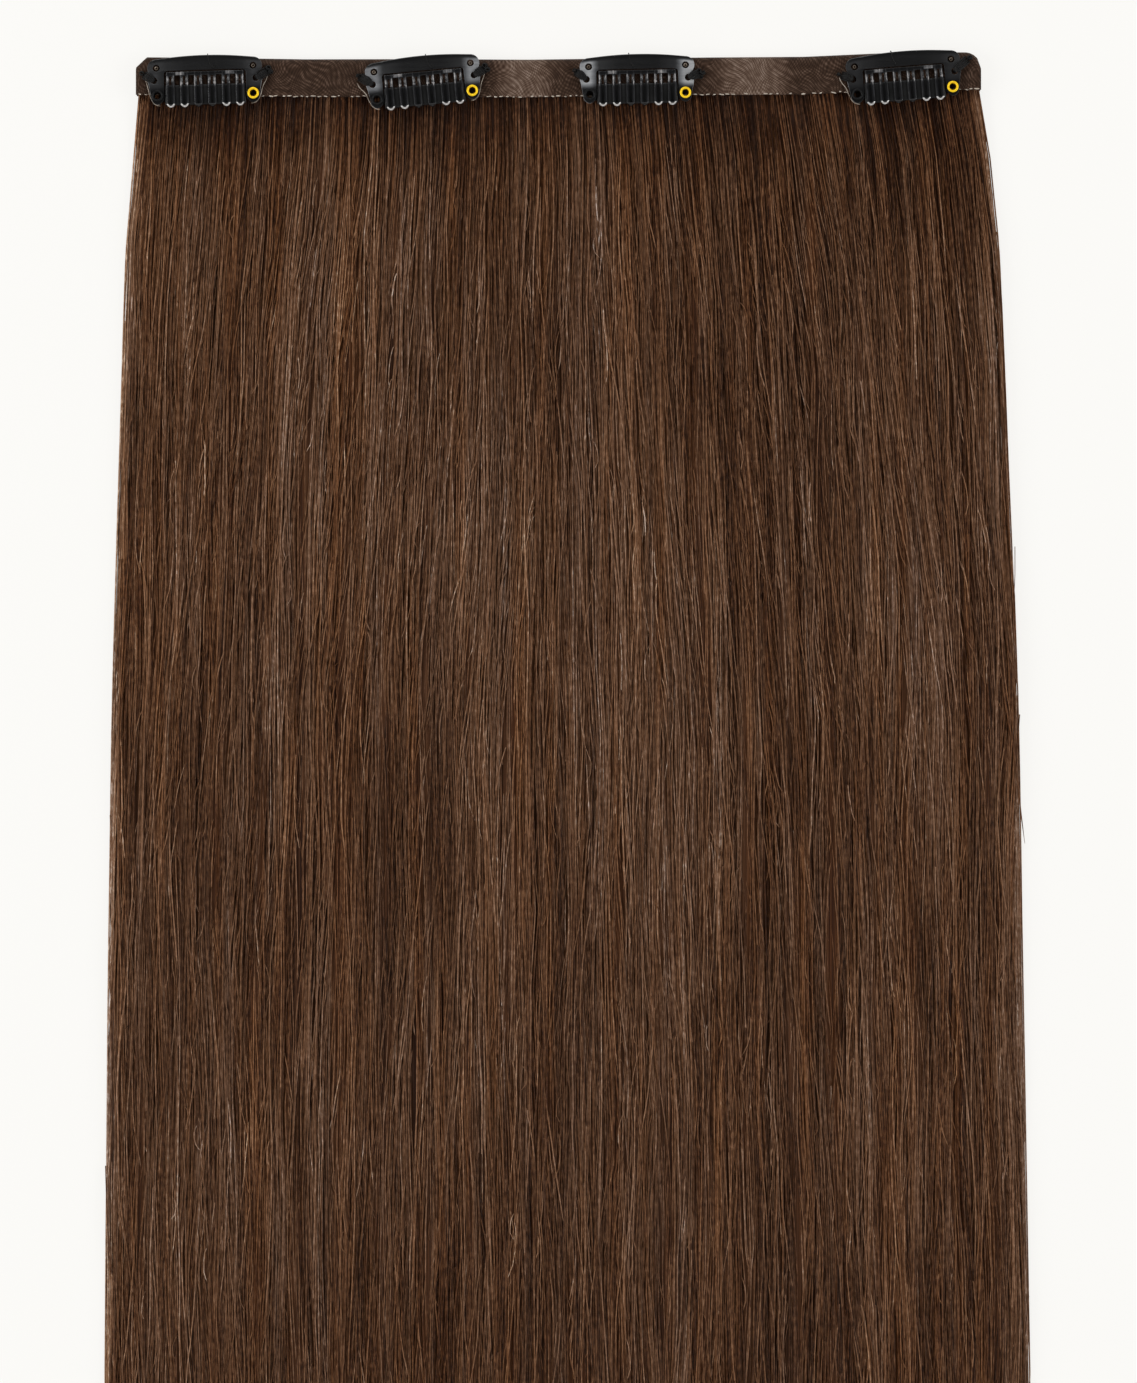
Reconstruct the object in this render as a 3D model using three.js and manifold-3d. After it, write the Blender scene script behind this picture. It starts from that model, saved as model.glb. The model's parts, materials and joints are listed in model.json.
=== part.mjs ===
// A clip in hair extension: one wide weft of straight hair, lying flat with its clips facing up.
// The hair's stitched header is folded into a lace band, and four snap clips are sewn along the band.
// Each clip is a black stamped plate, a rubber covered grip bar under it, and a comb of hairpin teeth
// that snaps over the rubber. Two eyelets rivet the plate to the bar, one black and one gold.
// Millimetres. X runs along the band, -Y down the hair, +Z up out of the clips.
// The origin is the middle of the band's underside.
import * as THREE from "three";
import Module from "manifold-3d";
import { mergeVertices } from "three/addons/utils/BufferGeometryUtils.js";

const wasm = await Module();
wasm.setup();

// The lace band, folded over the header of the hair.
const bandLength = 236;
const bandHeight = 10.7;
const bandWall = 1;
const bandCornerCut = 2.6;
const bandSteps = 18;
const foldSteps = 4;

// The hair: a flat stitched header inside the band, then a curtain of locks down to the tips.
const headerThickness = 1.6;
const headerDepth = 7.2;
const hairLength = 446;
const hairThickness = 4.2;
const lockCount = 22;
const lockGroove = 0.26;
const tipNotch = 26;
const tipScatter = 16;

// The clip's stamped plate. Heights are measured from the line that the comb hinges on.
const clipWidth = 32;
const plateSheet = 0.55;
const plateTop = 5;
const plateArch = 0.8;
const plateCrown = 0.6;
const plateLean = 0.8;
const windowWidth = 22.9;
const windowTop = 0.8;
const shoulderRadius = 2.5;
const shoulderHole = 1;
const flankRadius = 1.8;
const flankHole = 0.95;
const flankDrop = 1.8;
const footRadius = 1.9;
const footStretch = 1.3;
const footDrop = 6.05;
const archSteps = 8;

// The comb of hairpin teeth.
const toothCount = 6;
const combSideGap = 0.6;
const toothWidth = 2.35;
const toothWire = 0.6;
const toothReach = 9.4;
const combSheet = 0.5;
const combSpine = 1;
const toothTipCurl = 0.7;

// The grip bar and its rubber sleeve.
const barSheet = 0.4;
const barHeight = 3.2;
const rubberHeight = 5.6;
const rubberWall = 0.4;
const rubberEdgeWall = 0.6;
const rubberLift = 0.1;
const rubberChamfer = 0.45;

// The eyelets at the feet of the plate.
const eyeletBore = 0.75;
const eyeletWall = 0.2;
const eyeletFlange = 0.3;
const eyeletHead = 1.6;
const eyeletHeadEdge = 0.15;
const eyeletSides = 12;

// Clearances: cloth and hair, the metal pieces, and what is seated face to face.
const softGap = 0.3;
const metalGap = 0.2;
const seatGap = 0.15;

// The band isn't quite straight: how far its middle line rises, in shares of its height.
const bandLine = [
  { along: -1, rise: -0.02 },
  { along: -0.84, rise: -0.035 },
  { along: -0.6, rise: -0.075 },
  { along: -0.32, rise: -0.07 },
  { along: -0.07, rise: -0.085 },
  { along: 0.19, rise: -0.045 },
  { along: 0.36, rise: -0.026 },
  { along: 0.58, rise: -0.01 },
  { along: 0.8, rise: 0.1 },
  { along: 1, rise: 0.11 },
];

// The clips from left to right: place along the band in shares of its half length, height of the
// hinge line over the band's middle line in shares of its height, and turn in degrees.
const clips = [
  { name: 1, along: -0.836, over: 0.068, turn: 1.8 },
  { name: 2, along: -0.321, over: 0.085, turn: 5.4 },
  { name: 3, along: 0.186, over: 0.103, turn: 1.2 },
  { name: 4, along: 0.815, over: 0.0325, turn: 4.6 },
];

// The curtain below the band: how far down in shares of the hair's length, where its left and right
// edges lie in shares of the band's half length, and its thickness in shares of the fullest.
const curtain = [
  { down: 0.01, left: 0.997, right: 0.999, thick: 0.74 },
  { down: 0.035, left: 1.006, right: 1.021, thick: 0.96 },
  { down: 0.1, left: 1.026, right: 1.047, thick: 1 },
  { down: 0.255, left: 1.045, right: 1.071, thick: 0.95 },
  { down: 0.385, left: 1.059, right: 1.091, thick: 0.9 },
  { down: 0.57, left: 1.069, right: 1.103, thick: 0.84 },
  { down: 0.81, left: 1.076, right: 1.119, thick: 0.7 },
  { down: 0.93, left: 1.064, right: 1.103, thick: 0.5 },
  { down: 1, left: 1.04, right: 1.078, thick: 0.2 },
];

const bandHalf = bandLength / 2;
const headerLow = bandWall + softGap;
const headerHigh = headerLow + headerThickness;
const bandThickness = headerHigh + softGap + bandWall;
const clipSeat = bandThickness + metalGap;
const clipHalf = clipWidth / 2;
const windowHalf = windowWidth / 2;
const degrees = Math.PI / 180;

// Heights inside a clip, from its seat on the band up through the sleeve, the bar, the plate and the teeth.
const barLow = rubberWall + seatGap;
const barHigh = barLow + barSheet;
const rubberHigh = barHigh + seatGap + rubberWall;
const plateLow = barHigh + metalGap;
const plateHigh = plateLow + plateSheet;
const combLow = plateLow;
const toothRise = rubberHigh + metalGap - combLow;
const clipThickness = combLow + toothRise + combSheet;

// The teeth are spread over the window, up to a gap at each side.
const toothPitch = (windowWidth - 2 * combSideGap - toothWidth) / (toothCount - 1);

// The rubber's edges under the teeth, where a tooth has climbed over it and where its tip starts to curl.
const rubberMiddle = rubberLift - footDrop;
const climbEnd = rubberMiddle + rubberHeight / 2 + metalGap;
const curlStart = rubberMiddle - rubberHeight / 2 + rubberChamfer / 2;

// The three pairs of holes in a plate, each in the middle of a rounded lobe of its edge.
const shoulder = { x: clipHalf - shoulderRadius, y: plateTop - plateArch - shoulderRadius };
const flank = { x: clipHalf - flankRadius, y: -flankDrop };
const foot = { x: windowHalf + footRadius, y: -footDrop };
const eyeletOuter = eyeletBore + eyeletWall;
const footHole = eyeletOuter + metalGap;

const lace = new THREE.MeshStandardMaterial({ name: "lace", color: 0x4f3f35, roughness: 0.85 });
const hair = new THREE.MeshStandardMaterial({ name: "hair", color: 0x4d3425, roughness: 0.5 });
const blackMetal = new THREE.MeshStandardMaterial({
  name: "black metal", color: 0x1d1e20, roughness: 0.4, metalness: 0.6,
});
const blackRubber = new THREE.MeshStandardMaterial({ name: "black rubber", color: 0x101011, roughness: 0.55 });
const gold = new THREE.MeshStandardMaterial({ name: "gold", color: 0xf2c21c, roughness: 0.3, metalness: 0.8 });

// The value of a column of a table at a place along it, in straight lines between the rows.
function between(table, key, at, column) {
  const next = Math.max(1, table.findIndex((row) => row[key] >= at));
  const [from, to] = [table[next - 1], table[next]];
  return THREE.MathUtils.mapLinear(at, from[key], to[key], from[column], to[column]);
}

function bandRise(x) {
  const along = THREE.MathUtils.clamp(x / bandHalf, -1, 1);
  return between(bandLine, "along", along, "rise") * bandHeight;
}

// Points on an arc, both ends included, in equal steps. A stretched arc is taller than it is wide.
function arc(centre, radius, from, to, steps, stretch = 1) {
  return Array.from({ length: steps + 1 }, (_, i) => {
    const angle = (from + ((to - from) * i) / steps) * degrees;
    const height = radius * stretch * Math.sin(angle);
    return new THREE.Vector2(centre.x + radius * Math.cos(angle), centre.y + height);
  });
}

function circle(centre, radius, sides) {
  return new THREE.Path(arc(centre, radius, 0, -360, sides).slice(0, -1));
}

function mirrored(points) {
  return points.map((p) => new THREE.Vector2(-p.x, p.y)).reverse();
}

// Moves each corner of a geometry to the place that the function gives for it.
function reshaped(geometry, place) {
  const corners = geometry.getAttribute("position");
  const corner = new THREE.Vector3();
  for (let i = 0; i < corners.count; i++) {
    place(corner.fromBufferAttribute(corners, i));
    corners.setXYZ(i, corner.x, corner.y, corner.z);
  }
  return geometry;
}

function solid(geometry) {
  const bare = geometry.clone();
  bare.deleteAttribute("normal");
  bare.deleteAttribute("uv");
  const merged = mergeVertices(bare, 1e-4);
  return new wasm.Manifold(new wasm.Mesh({
    numProp: 3,
    vertProperties: merged.getAttribute("position").array,
    triVerts: new Uint32Array(merged.index.array),
  }));
}

function geometryOf(body) {
  const mesh = body.getMesh();
  const geometry = new THREE.BufferGeometry();
  geometry.setAttribute("position", new THREE.BufferAttribute(mesh.vertProperties, 3));
  geometry.setIndex(new THREE.BufferAttribute(mesh.triVerts, 1));
  geometry.computeVertexNormals();
  return geometry;
}

// A flat outline stamped out of a bent sheet.
function stamped(sheet, outline) {
  const punch = new THREE.ExtrudeGeometry(outline, { depth: 4 * clipThickness, bevelEnabled: false });
  punch.translate(0, 0, -2 * clipThickness);
  return geometryOf(solid(sheet).intersect(solid(punch)));
}

// A named piece of the model.
function piece(name, geometry, material) {
  const mesh = new THREE.Mesh(geometry, material);
  mesh.name = name;
  return mesh;
}

// The lace band: a strip folded over its top edge, drawn in section and run along the band.
function laceBand() {
  const half = bandHeight / 2;
  const foldCentre = { x: half - bandThickness / 2, y: bandThickness / 2 };
  const outer = arc(foldCentre, bandThickness / 2, -90, 90, foldSteps);
  const inner = arc(foldCentre, bandThickness / 2 - bandWall, 90, -90, foldSteps);
  const section = new THREE.Shape([
    new THREE.Vector2(-half, 0),
    ...outer,
    new THREE.Vector2(-half, bandThickness),
    new THREE.Vector2(-half, bandThickness - bandWall),
    ...inner,
    new THREE.Vector2(-half, bandWall),
  ]);
  const strip = new THREE.ExtrudeGeometry(section, { depth: bandLength, steps: bandSteps, bevelEnabled: false });
  // The section's x and y become the band's Y and Z, and its depth runs along X.
  strip.translate(0, 0, -bandHalf);
  strip.applyMatrix4(new THREE.Matrix4().makeBasis(
    new THREE.Vector3(0, 1, 0), new THREE.Vector3(0, 0, 1), new THREE.Vector3(1, 0, 0),
  ));
  reshaped(strip, (p) => { p.y += bandRise(p.x); });
  // The top corners are cut off at a slant.
  let band = solid(strip);
  for (const end of [-1, 1]) {
    const corner = { x: end * bandHalf, y: half + bandRise(end * bandHalf) };
    const cutter = new THREE.BoxGeometry(bandCornerCut * Math.SQRT2, bandCornerCut * Math.SQRT2, 3 * bandThickness);
    cutter.rotateZ(45 * degrees);
    cutter.translate(corner.x, corner.y, bandThickness / 2);
    band = band.subtract(solid(cutter));
  }
  return piece("lace_band", geometryOf(band), lace);
}

// Every lock is a crest between two grooves, and hangs a little longer or shorter than its neighbours.
function lockVariation(column) {
  return 0.5 + 0.5 * Math.sin(column * 2.4) * Math.cos(column * 0.9 + 1);
}

// The rows of the hair's surface from the header down, each with its place, edges, underside and top.
function hairRows() {
  const bandBottom = -bandHeight / 2;
  const headerHalf = bandHalf - softGap;
  const header = [bandBottom + headerDepth, bandBottom - softGap].map((y) => ({
    y, left: -headerHalf, right: headerHalf, low: headerLow, high: headerHigh, down: 0,
  }));
  const hanging = curtain.map((row) => ({
    y: bandBottom - row.down * hairLength,
    left: -row.left * bandHalf,
    right: row.right * bandHalf,
    low: 0,
    high: row.thick * hairThickness,
    down: row.down,
  }));
  return [...header, ...hanging];
}

// The hair: one sheet of locks side by side, grown out of the flat header.
function hairCurtain() {
  const rows = hairRows();
  const columns = 2 * lockCount;
  const sheet = new THREE.BoxGeometry(1, 1, 1, columns, rows.length - 1, 1);
  reshaped(sheet, (p) => {
    const column = Math.round((p.x + 0.5) * columns);
    const row = rows[Math.round((0.5 - p.y) * (rows.length - 1))];
    const onTop = p.z > 0;
    const isGroove = column % 2 === 0;
    const isEdge = column === 0 || column === columns;
    const share = column / columns;
    const groove = row.down > 0 && isGroove ? lockGroove * (0.6 + 0.4 * lockVariation(column)) : 0;
    const edgeThinning = row.down > 0 && isEdge ? 0.5 : 0;
    // Only the last stretch of a lock is shortened, so the locks come apart at their tips.
    const freeing = THREE.MathUtils.smoothstep(row.down, 0.85, 1);
    const shortening = freeing * (tipScatter * lockVariation(column + 3) + (isGroove ? tipNotch : 0));
    p.x = THREE.MathUtils.lerp(row.left, row.right, share);
    p.y = row.y + shortening + bandRise(p.x) * (1 - THREE.MathUtils.smoothstep(row.down, 0, 0.1));
    p.z = onTop ? row.low + (row.high - row.low) * (1 - groove - edgeThinning) : row.low;
  });
  return piece("hair", sheet, hair);
}

// The plate is crowned along its top bar, and the bar leans back to the band.
function plateHeightAt(x, y) {
  const overBar = THREE.MathUtils.clamp((y - windowTop) / (plateTop - windowTop), 0, 1);
  const crown = plateCrown * Math.max(0, 1 - (x / windowHalf) ** 2);
  const onBar = THREE.MathUtils.clamp((y + windowTop) / (2 * windowTop), 0, 1);
  return crown * onBar - plateLean * overBar;
}

function plateArchAt(x) {
  return plateTop - plateArch * (x / shoulder.x) ** 2;
}

function clipPlate(clip) {
  const rightEdge = [
    ...arc(foot, footRadius, 180, 330, 6, footStretch),
    ...arc(flank, flankRadius, -25, 70, 4),
    ...arc(shoulder, shoulderRadius, -55, 90, 6),
  ];
  const arch = Array.from({ length: archSteps - 1 }, (_, i) => {
    const x = shoulder.x * (1 - (2 * (i + 1)) / archSteps);
    return new THREE.Vector2(x, plateArchAt(x));
  });
  const windowCorner = footRadius / 2;
  const cornerCentre = { x: windowHalf - windowCorner, y: windowTop - windowCorner };
  const windowLine = Array.from({ length: archSteps - 1 }, (_, i) => {
    const x = cornerCentre.x * ((2 * (i + 1)) / archSteps - 1);
    return new THREE.Vector2(x, windowTop);
  });
  const rightCorner = arc(cornerCentre, windowCorner, 90, 0, 3);
  const outline = new THREE.Shape([
    ...rightEdge, ...arch, ...mirrored(rightEdge), ...mirrored(rightCorner), ...windowLine, ...rightCorner,
  ]);
  for (const side of [-1, 1]) {
    outline.holes.push(
      circle({ x: side * shoulder.x, y: shoulder.y }, shoulderHole, 8),
      circle({ x: side * flank.x, y: flank.y }, flankHole, 8),
      circle({ x: side * foot.x, y: foot.y }, footHole, 10),
    );
  }
  const levels = [plateTop + plateSheet, windowTop, -windowTop, -footDrop - 2 * footRadius * footStretch];
  const sheet = new THREE.BoxGeometry(clipWidth + plateSheet, 1, plateSheet, archSteps, levels.length - 1, 1);
  reshaped(sheet, (p) => {
    p.y = levels[Math.round((0.5 - p.y) * (levels.length - 1))];
    p.z += plateLow + plateSheet / 2 + plateHeightAt(p.x, p.y);
  });
  return piece(`clip_plate_${clip.name}`, stamped(sheet, outline), blackMetal);
}

// A tooth leaves the spine level with the plate, climbs over the rubber and curls down at its tip.
function toothHeightAt(y) {
  const climb = 1 - THREE.MathUtils.smoothstep(y, climbEnd, -combSpine / 2);
  const curl = 1 - THREE.MathUtils.smoothstep(y, -toothReach, curlStart);
  return toothRise * climb - toothTipCurl * curl;
}

function combOfTeeth(clip) {
  const spineHalf = (toothPitch * (toothCount - 1) + toothWidth) / 2;
  const spineEdge = combSpine / 2;
  const edge = [new THREE.Vector2(-spineHalf, spineEdge)];
  const holes = [];
  for (let i = 0; i < toothCount; i++) {
    const middle = (i - (toothCount - 1) / 2) * toothPitch;
    const outer = toothWidth / 2;
    const inner = outer - toothWire;
    const tip = { x: middle, y: -toothReach + outer };
    if (i > 0) edge.push(new THREE.Vector2(middle - outer, -spineEdge));
    edge.push(...arc(tip, outer, 180, 360, 6));
    if (i < toothCount - 1) edge.push(new THREE.Vector2(middle + outer, -spineEdge));
    holes.push(new THREE.Path([
      new THREE.Vector2(middle + inner, -spineEdge),
      ...arc(tip, inner, 0, -180, 4),
      new THREE.Vector2(middle - inner, -spineEdge),
    ]));
  }
  edge.push(new THREE.Vector2(spineHalf, spineEdge));
  const outline = new THREE.Shape(edge);
  outline.holes.push(...holes);
  const levels = [
    spineEdge + combSheet, -spineEdge,
    ...[1 / 3, 2 / 3, 1].map((share) => THREE.MathUtils.lerp(-spineEdge, climbEnd, share)),
    curlStart, (curlStart - toothReach) / 2, -toothReach - combSheet,
  ];
  const sheet = new THREE.BoxGeometry(2 * spineHalf + combSheet, 1, combSheet, 1, levels.length - 1, 1);
  reshaped(sheet, (p) => {
    p.y = levels[Math.round((0.5 - p.y) * (levels.length - 1))];
    p.z += combLow + combSheet / 2 + toothHeightAt(p.y);
  });
  return piece(`clip_comb_${clip.name}`, stamped(sheet, outline), blackMetal);
}

// The bar runs under the teeth from foot to foot, with a round eye at each end.
function gripBar(clip) {
  const half = barHeight / 2;
  const lean = Math.asin(Math.min(1, half / footRadius)) / degrees;
  const rightEye = arc(foot, footRadius, -180 + lean, 180 - lean, 10);
  const outline = new THREE.Shape([...rightEye, ...mirrored(rightEye)]);
  for (const side of [-1, 1]) outline.holes.push(circle({ x: side * foot.x, y: foot.y }, footHole, 10));
  const sheet = new THREE.ExtrudeGeometry(outline, { depth: barSheet, bevelEnabled: false });
  sheet.translate(0, 0, barLow);
  return piece(`grip_bar_${clip.name}`, sheet, blackMetal);
}

// The rubber is a flat tube pulled over the bar, as long as the window between the wings.
function gripRubber(clip) {
  const length = windowWidth - 2 * metalGap;
  const high = rubberHeight / 2;
  const deep = rubberHigh / 2;
  const c = rubberChamfer;
  const section = new THREE.Shape([
    [high - c, -deep], [high, -deep + c], [high, deep - c], [high - c, deep],
    [-high + c, deep], [-high, deep - c], [-high, -deep + c], [-high + c, -deep],
  ].map(([x, y]) => new THREE.Vector2(x, y)));
  const slotHigh = high - rubberEdgeWall;
  const slotDeep = barSheet / 2 + seatGap;
  const slotMiddle = barLow + barSheet / 2 - deep;
  section.holes.push(new THREE.Path([
    [-slotHigh, -slotDeep], [-slotHigh, slotDeep], [slotHigh, slotDeep], [slotHigh, -slotDeep],
  ].map(([x, y]) => new THREE.Vector2(x, y + slotMiddle))));
  const tube = new THREE.ExtrudeGeometry(section, { depth: length, bevelEnabled: false });
  tube.translate(0, 0, -length / 2);
  tube.applyMatrix4(new THREE.Matrix4().makeBasis(
    new THREE.Vector3(0, 1, 0), new THREE.Vector3(0, 0, 1), new THREE.Vector3(1, 0, 0),
  ));
  tube.translate(0, rubberMiddle, deep);
  return piece(`grip_rubber_${clip.name}`, tube, blackRubber);
}

// A rolled eyelet: a short tube with a head over the plate and a flange under the bar.
function eyelet(name, side, material) {
  const low = barLow - seatGap - eyeletFlange;
  const head = plateHigh + seatGap;
  const top = head + eyeletFlange;
  const profile = [
    [eyeletBore, low],
    [foot.x - windowHalf - rubberWall, low],
    [foot.x - windowHalf - rubberWall, low + eyeletFlange],
    [eyeletOuter, low + eyeletFlange],
    [eyeletOuter, head],
    [eyeletHead, head],
    [eyeletHead, top - eyeletHeadEdge],
    [eyeletHead - eyeletHeadEdge, top],
    [eyeletOuter, top],
    [eyeletBore, top - eyeletHeadEdge],
    [eyeletBore, low],
  ].map(([radius, height]) => new THREE.Vector2(radius, height));
  const ring = new THREE.LatheGeometry(profile, eyeletSides);
  ring.rotateX(90 * degrees);
  ring.translate(side * foot.x, foot.y, 0);
  return piece(name, ring, material);
}

// One clip, sewn to the front of the band.
function snapClip(clip) {
  const group = new THREE.Group();
  group.add(
    clipPlate(clip),
    combOfTeeth(clip),
    gripBar(clip),
    gripRubber(clip),
    eyelet(`black_eyelet_${clip.name}`, -1, blackMetal),
    eyelet(`gold_eyelet_${clip.name}`, 1, gold),
  );
  const x = clip.along * bandHalf;
  group.position.set(x, bandRise(x) + clip.over * bandHeight, clipSeat);
  group.rotation.z = clip.turn * degrees;
  return group;
}

const weft = new THREE.Group();
weft.add(laceBand(), hairCurtain(), ...clips.map(snapClip));

export default weft;
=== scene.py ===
import json
import math
import random

import bmesh
import bpy
from mathutils import Matrix, Vector, noise


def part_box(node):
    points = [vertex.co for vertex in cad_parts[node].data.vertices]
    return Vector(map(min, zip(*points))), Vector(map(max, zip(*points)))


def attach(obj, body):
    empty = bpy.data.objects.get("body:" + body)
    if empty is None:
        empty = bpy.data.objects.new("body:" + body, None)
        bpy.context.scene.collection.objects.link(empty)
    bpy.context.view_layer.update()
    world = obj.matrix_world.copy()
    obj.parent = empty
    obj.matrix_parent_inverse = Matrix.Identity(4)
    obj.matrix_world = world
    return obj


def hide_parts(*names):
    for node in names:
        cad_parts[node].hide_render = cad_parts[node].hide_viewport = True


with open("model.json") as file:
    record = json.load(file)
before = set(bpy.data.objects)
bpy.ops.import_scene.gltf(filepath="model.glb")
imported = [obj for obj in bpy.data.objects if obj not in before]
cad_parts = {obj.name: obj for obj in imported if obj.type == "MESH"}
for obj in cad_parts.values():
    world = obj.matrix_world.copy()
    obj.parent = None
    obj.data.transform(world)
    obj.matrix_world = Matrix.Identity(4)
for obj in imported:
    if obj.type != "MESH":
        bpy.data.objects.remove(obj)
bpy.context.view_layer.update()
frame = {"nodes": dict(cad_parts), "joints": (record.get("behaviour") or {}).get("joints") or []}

mm = 0.001

# The weft lies on a plain pale table and is seen straight from above, from far enough off that nothing
# leans. The picture takes in the band and most of the hair, and its lower edge cuts the tips off.
view_height = 387.2 * mm
view_centre = Vector((2.8 * mm, -172.2 * mm, 0))
camera_height = 1.5
camera_data = bpy.data.cameras.new("camera")
camera_data.sensor_width = 36
camera_data.lens = camera_data.sensor_width * camera_height / view_height
camera_data.clip_end = 20
camera = bpy.data.objects.new("camera", camera_data)
camera.location = view_centre + Vector((0, 0, camera_height))
bpy.context.scene.collection.objects.link(camera)
bpy.context.scene.camera = camera
bpy.context.scene.view_settings.view_transform = "Standard"


def soft_box(name, place, size, watts):
    """A square lamp that faces the middle of the picture."""
    lamp_data = bpy.data.lights.new(name, "AREA")
    lamp_data.size = size
    lamp_data.energy = watts
    lamp = bpy.data.objects.new(name, lamp_data)
    lamp.location = place
    lamp.rotation_euler = (view_centre - Vector(place)).to_track_quat("-Z", "Y").to_euler()
    bpy.context.scene.collection.objects.link(lamp)


soft_box("left_light", (-1.35, -0.25, 1.0), 0.9, 14)
soft_box("right_light", (1.35, -0.35, 1.0), 0.9, 11)
soft_box("far_light", (-0.25, 1.25, 0.95), 0.7, 6)

# The room is bright at the sides and dark right overhead, which is what flat metal mirrors from above.
sky_tones = [(0.0, 0.64), (0.72, 0.64), (0.86, 0.3), (0.95, 0.04)]
sky = bpy.data.worlds.new("sky")
sky.use_nodes = True
sky_nodes, sky_links = sky.node_tree.nodes, sky.node_tree.links
upward = sky_nodes.new("ShaderNodeSeparateXYZ")
sky_links.new(sky_nodes.new("ShaderNodeTexCoord").outputs["Generated"], upward.inputs["Vector"])
sky_ramp = sky_nodes.new("ShaderNodeValToRGB")
sky_links.new(upward.outputs["Z"], sky_ramp.inputs["Fac"])
sky_links.new(sky_ramp.outputs["Color"], sky_nodes["Background"].inputs["Color"])
for extra in sky_tones[1:-1]:
    sky_ramp.color_ramp.elements.new(extra[0])
for element, (height, tone) in zip(sky_ramp.color_ramp.elements, sky_tones):
    element.position = height
    element.color = (tone, tone, tone, 1)
bpy.context.scene.world = sky

table_half = 3.0
table_drop = 0.2 * mm
table_mesh = bpy.data.meshes.new("table")
table_mesh.from_pydata(
    [(x * table_half, y * table_half, -table_drop) for x, y in ((-1, -1), (1, -1), (1, 1), (-1, 1))],
    [], [(0, 1, 2, 3)])
table = bpy.data.objects.new("table", table_mesh)
bpy.context.scene.collection.objects.link(table)
table_finish = bpy.data.materials.new("table")
table_finish.use_nodes = True
table_shader = table_finish.node_tree.nodes["Principled BSDF"]
table_shader.inputs["Base Color"].default_value = (0.12, 0.12, 0.118, 1)
table_shader.inputs["Roughness"].default_value = 0.9
table_shader.inputs["Specular IOR Level"].default_value = 0.1
table_shader.inputs["Emission Color"].default_value = (1, 0.989, 0.96, 1)
table_shader.inputs["Emission Strength"].default_value = 0.837
table_mesh.materials.append(table_finish)

# The hair is straight brown fibre sewn side by side along a header, which the band hides. It fans out a
# little towards its tips. A bed of locks carries it, and the strands lie over and through each other on top.
band_height = 10.7 * mm
band_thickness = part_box("lace_band")[1].z
band_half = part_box("lace_band")[1].x
header_low = 1.5 * mm
header_high = 2.8 * mm
hair_length = 446 * mm
hair_thickness = 4.2 * mm
lock_count = 22
lock_groove = 0.2
tip_count = 66
tip_notch = 10 * mm
tip_scatter = 14 * mm
bed_share = 0.74
bed_end = 0.95
bed_inset = 1.4 * mm
bed_rim = 0.012
bed_root = 0.03
bed_columns = 264
bed_rows = 35
tips_begin = 0.84
tip_seed = 7

# How far the band's middle line rises along it, in shares of the band's height.
band_line = [
    {"along": -1, "rise": -0.02},
    {"along": -0.84, "rise": -0.035},
    {"along": -0.6, "rise": -0.075},
    {"along": -0.32, "rise": -0.07},
    {"along": -0.07, "rise": -0.085},
    {"along": 0.19, "rise": -0.045},
    {"along": 0.36, "rise": -0.026},
    {"along": 0.58, "rise": -0.01},
    {"along": 0.8, "rise": 0.1},
    {"along": 1, "rise": 0.11},
]

# The hair's left and right edges in shares of the band's half length, and its thickness in shares of the
# fullest, for each share of the way down.
curtain = [
    {"down": 0, "left": 0.994, "right": 0.996, "thick": 0.7},
    {"down": 0.035, "left": 1.006, "right": 1.021, "thick": 0.93},
    {"down": 0.1, "left": 1.026, "right": 1.047, "thick": 1},
    {"down": 0.255, "left": 1.045, "right": 1.071, "thick": 0.95},
    {"down": 0.385, "left": 1.059, "right": 1.091, "thick": 0.9},
    {"down": 0.57, "left": 1.069, "right": 1.103, "thick": 0.84},
    {"down": 0.81, "left": 1.076, "right": 1.119, "thick": 0.7},
    {"down": 0.93, "left": 1.064, "right": 1.103, "thick": 0.5},
    {"down": 1, "left": 1.04, "right": 1.078, "thick": 0.2},
]


def between(table, key, at, column):
    """A column's value at a place along a table, in straight lines between its rows."""
    at = min(max(at, table[0][key]), table[-1][key])
    following = next(i for i in range(1, len(table)) if table[i][key] >= at)
    before, after = table[following - 1], table[following]
    share = (at - before[key]) / (after[key] - before[key])
    return before[column] + share * (after[column] - before[column])


def eased(value, start, end):
    """0 before the start, 1 past the end, and a smooth rise between them."""
    share = min(max((value - start) / (end - start), 0), 1)
    return share * share * (3 - 2 * share)


def band_rise(x):
    return between(band_line, "along", x / band_half, "rise") * band_height


class Amount:
    """A number that nodes work out, so that a formula in a node tree reads as a formula."""

    def __init__(self, tree, socket):
        self.tree = tree
        self.socket = socket

    def worked(self, operation, *others):
        node = self.tree.nodes.new("ShaderNodeMath")
        node.operation = operation
        for place, value in enumerate((self, *others)):
            if isinstance(value, Amount):
                self.tree.links.new(value.socket, node.inputs[place])
            else:
                node.inputs[place].default_value = value
        return Amount(self.tree, node.outputs[0])

    def __add__(self, other):
        return self.worked("ADD", other)

    def __sub__(self, other):
        return self.worked("SUBTRACT", other)

    def __mul__(self, other):
        return self.worked("MULTIPLY", other)

    def __truediv__(self, other):
        return self.worked("DIVIDE", other)

    def __rsub__(self, other):
        return self.worked("MULTIPLY", -1).worked("ADD", other)

    __radd__ = __add__
    __rmul__ = __mul__

    def eased(self, start, end):
        node = self.tree.nodes.new("ShaderNodeMapRange")
        node.interpolation_type = "SMOOTHSTEP"
        self.tree.links.new(self.socket, node.inputs["Value"])
        node.inputs["From Min"].default_value = start
        node.inputs["From Max"].default_value = end
        return Amount(self.tree, node.outputs["Result"])


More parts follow.
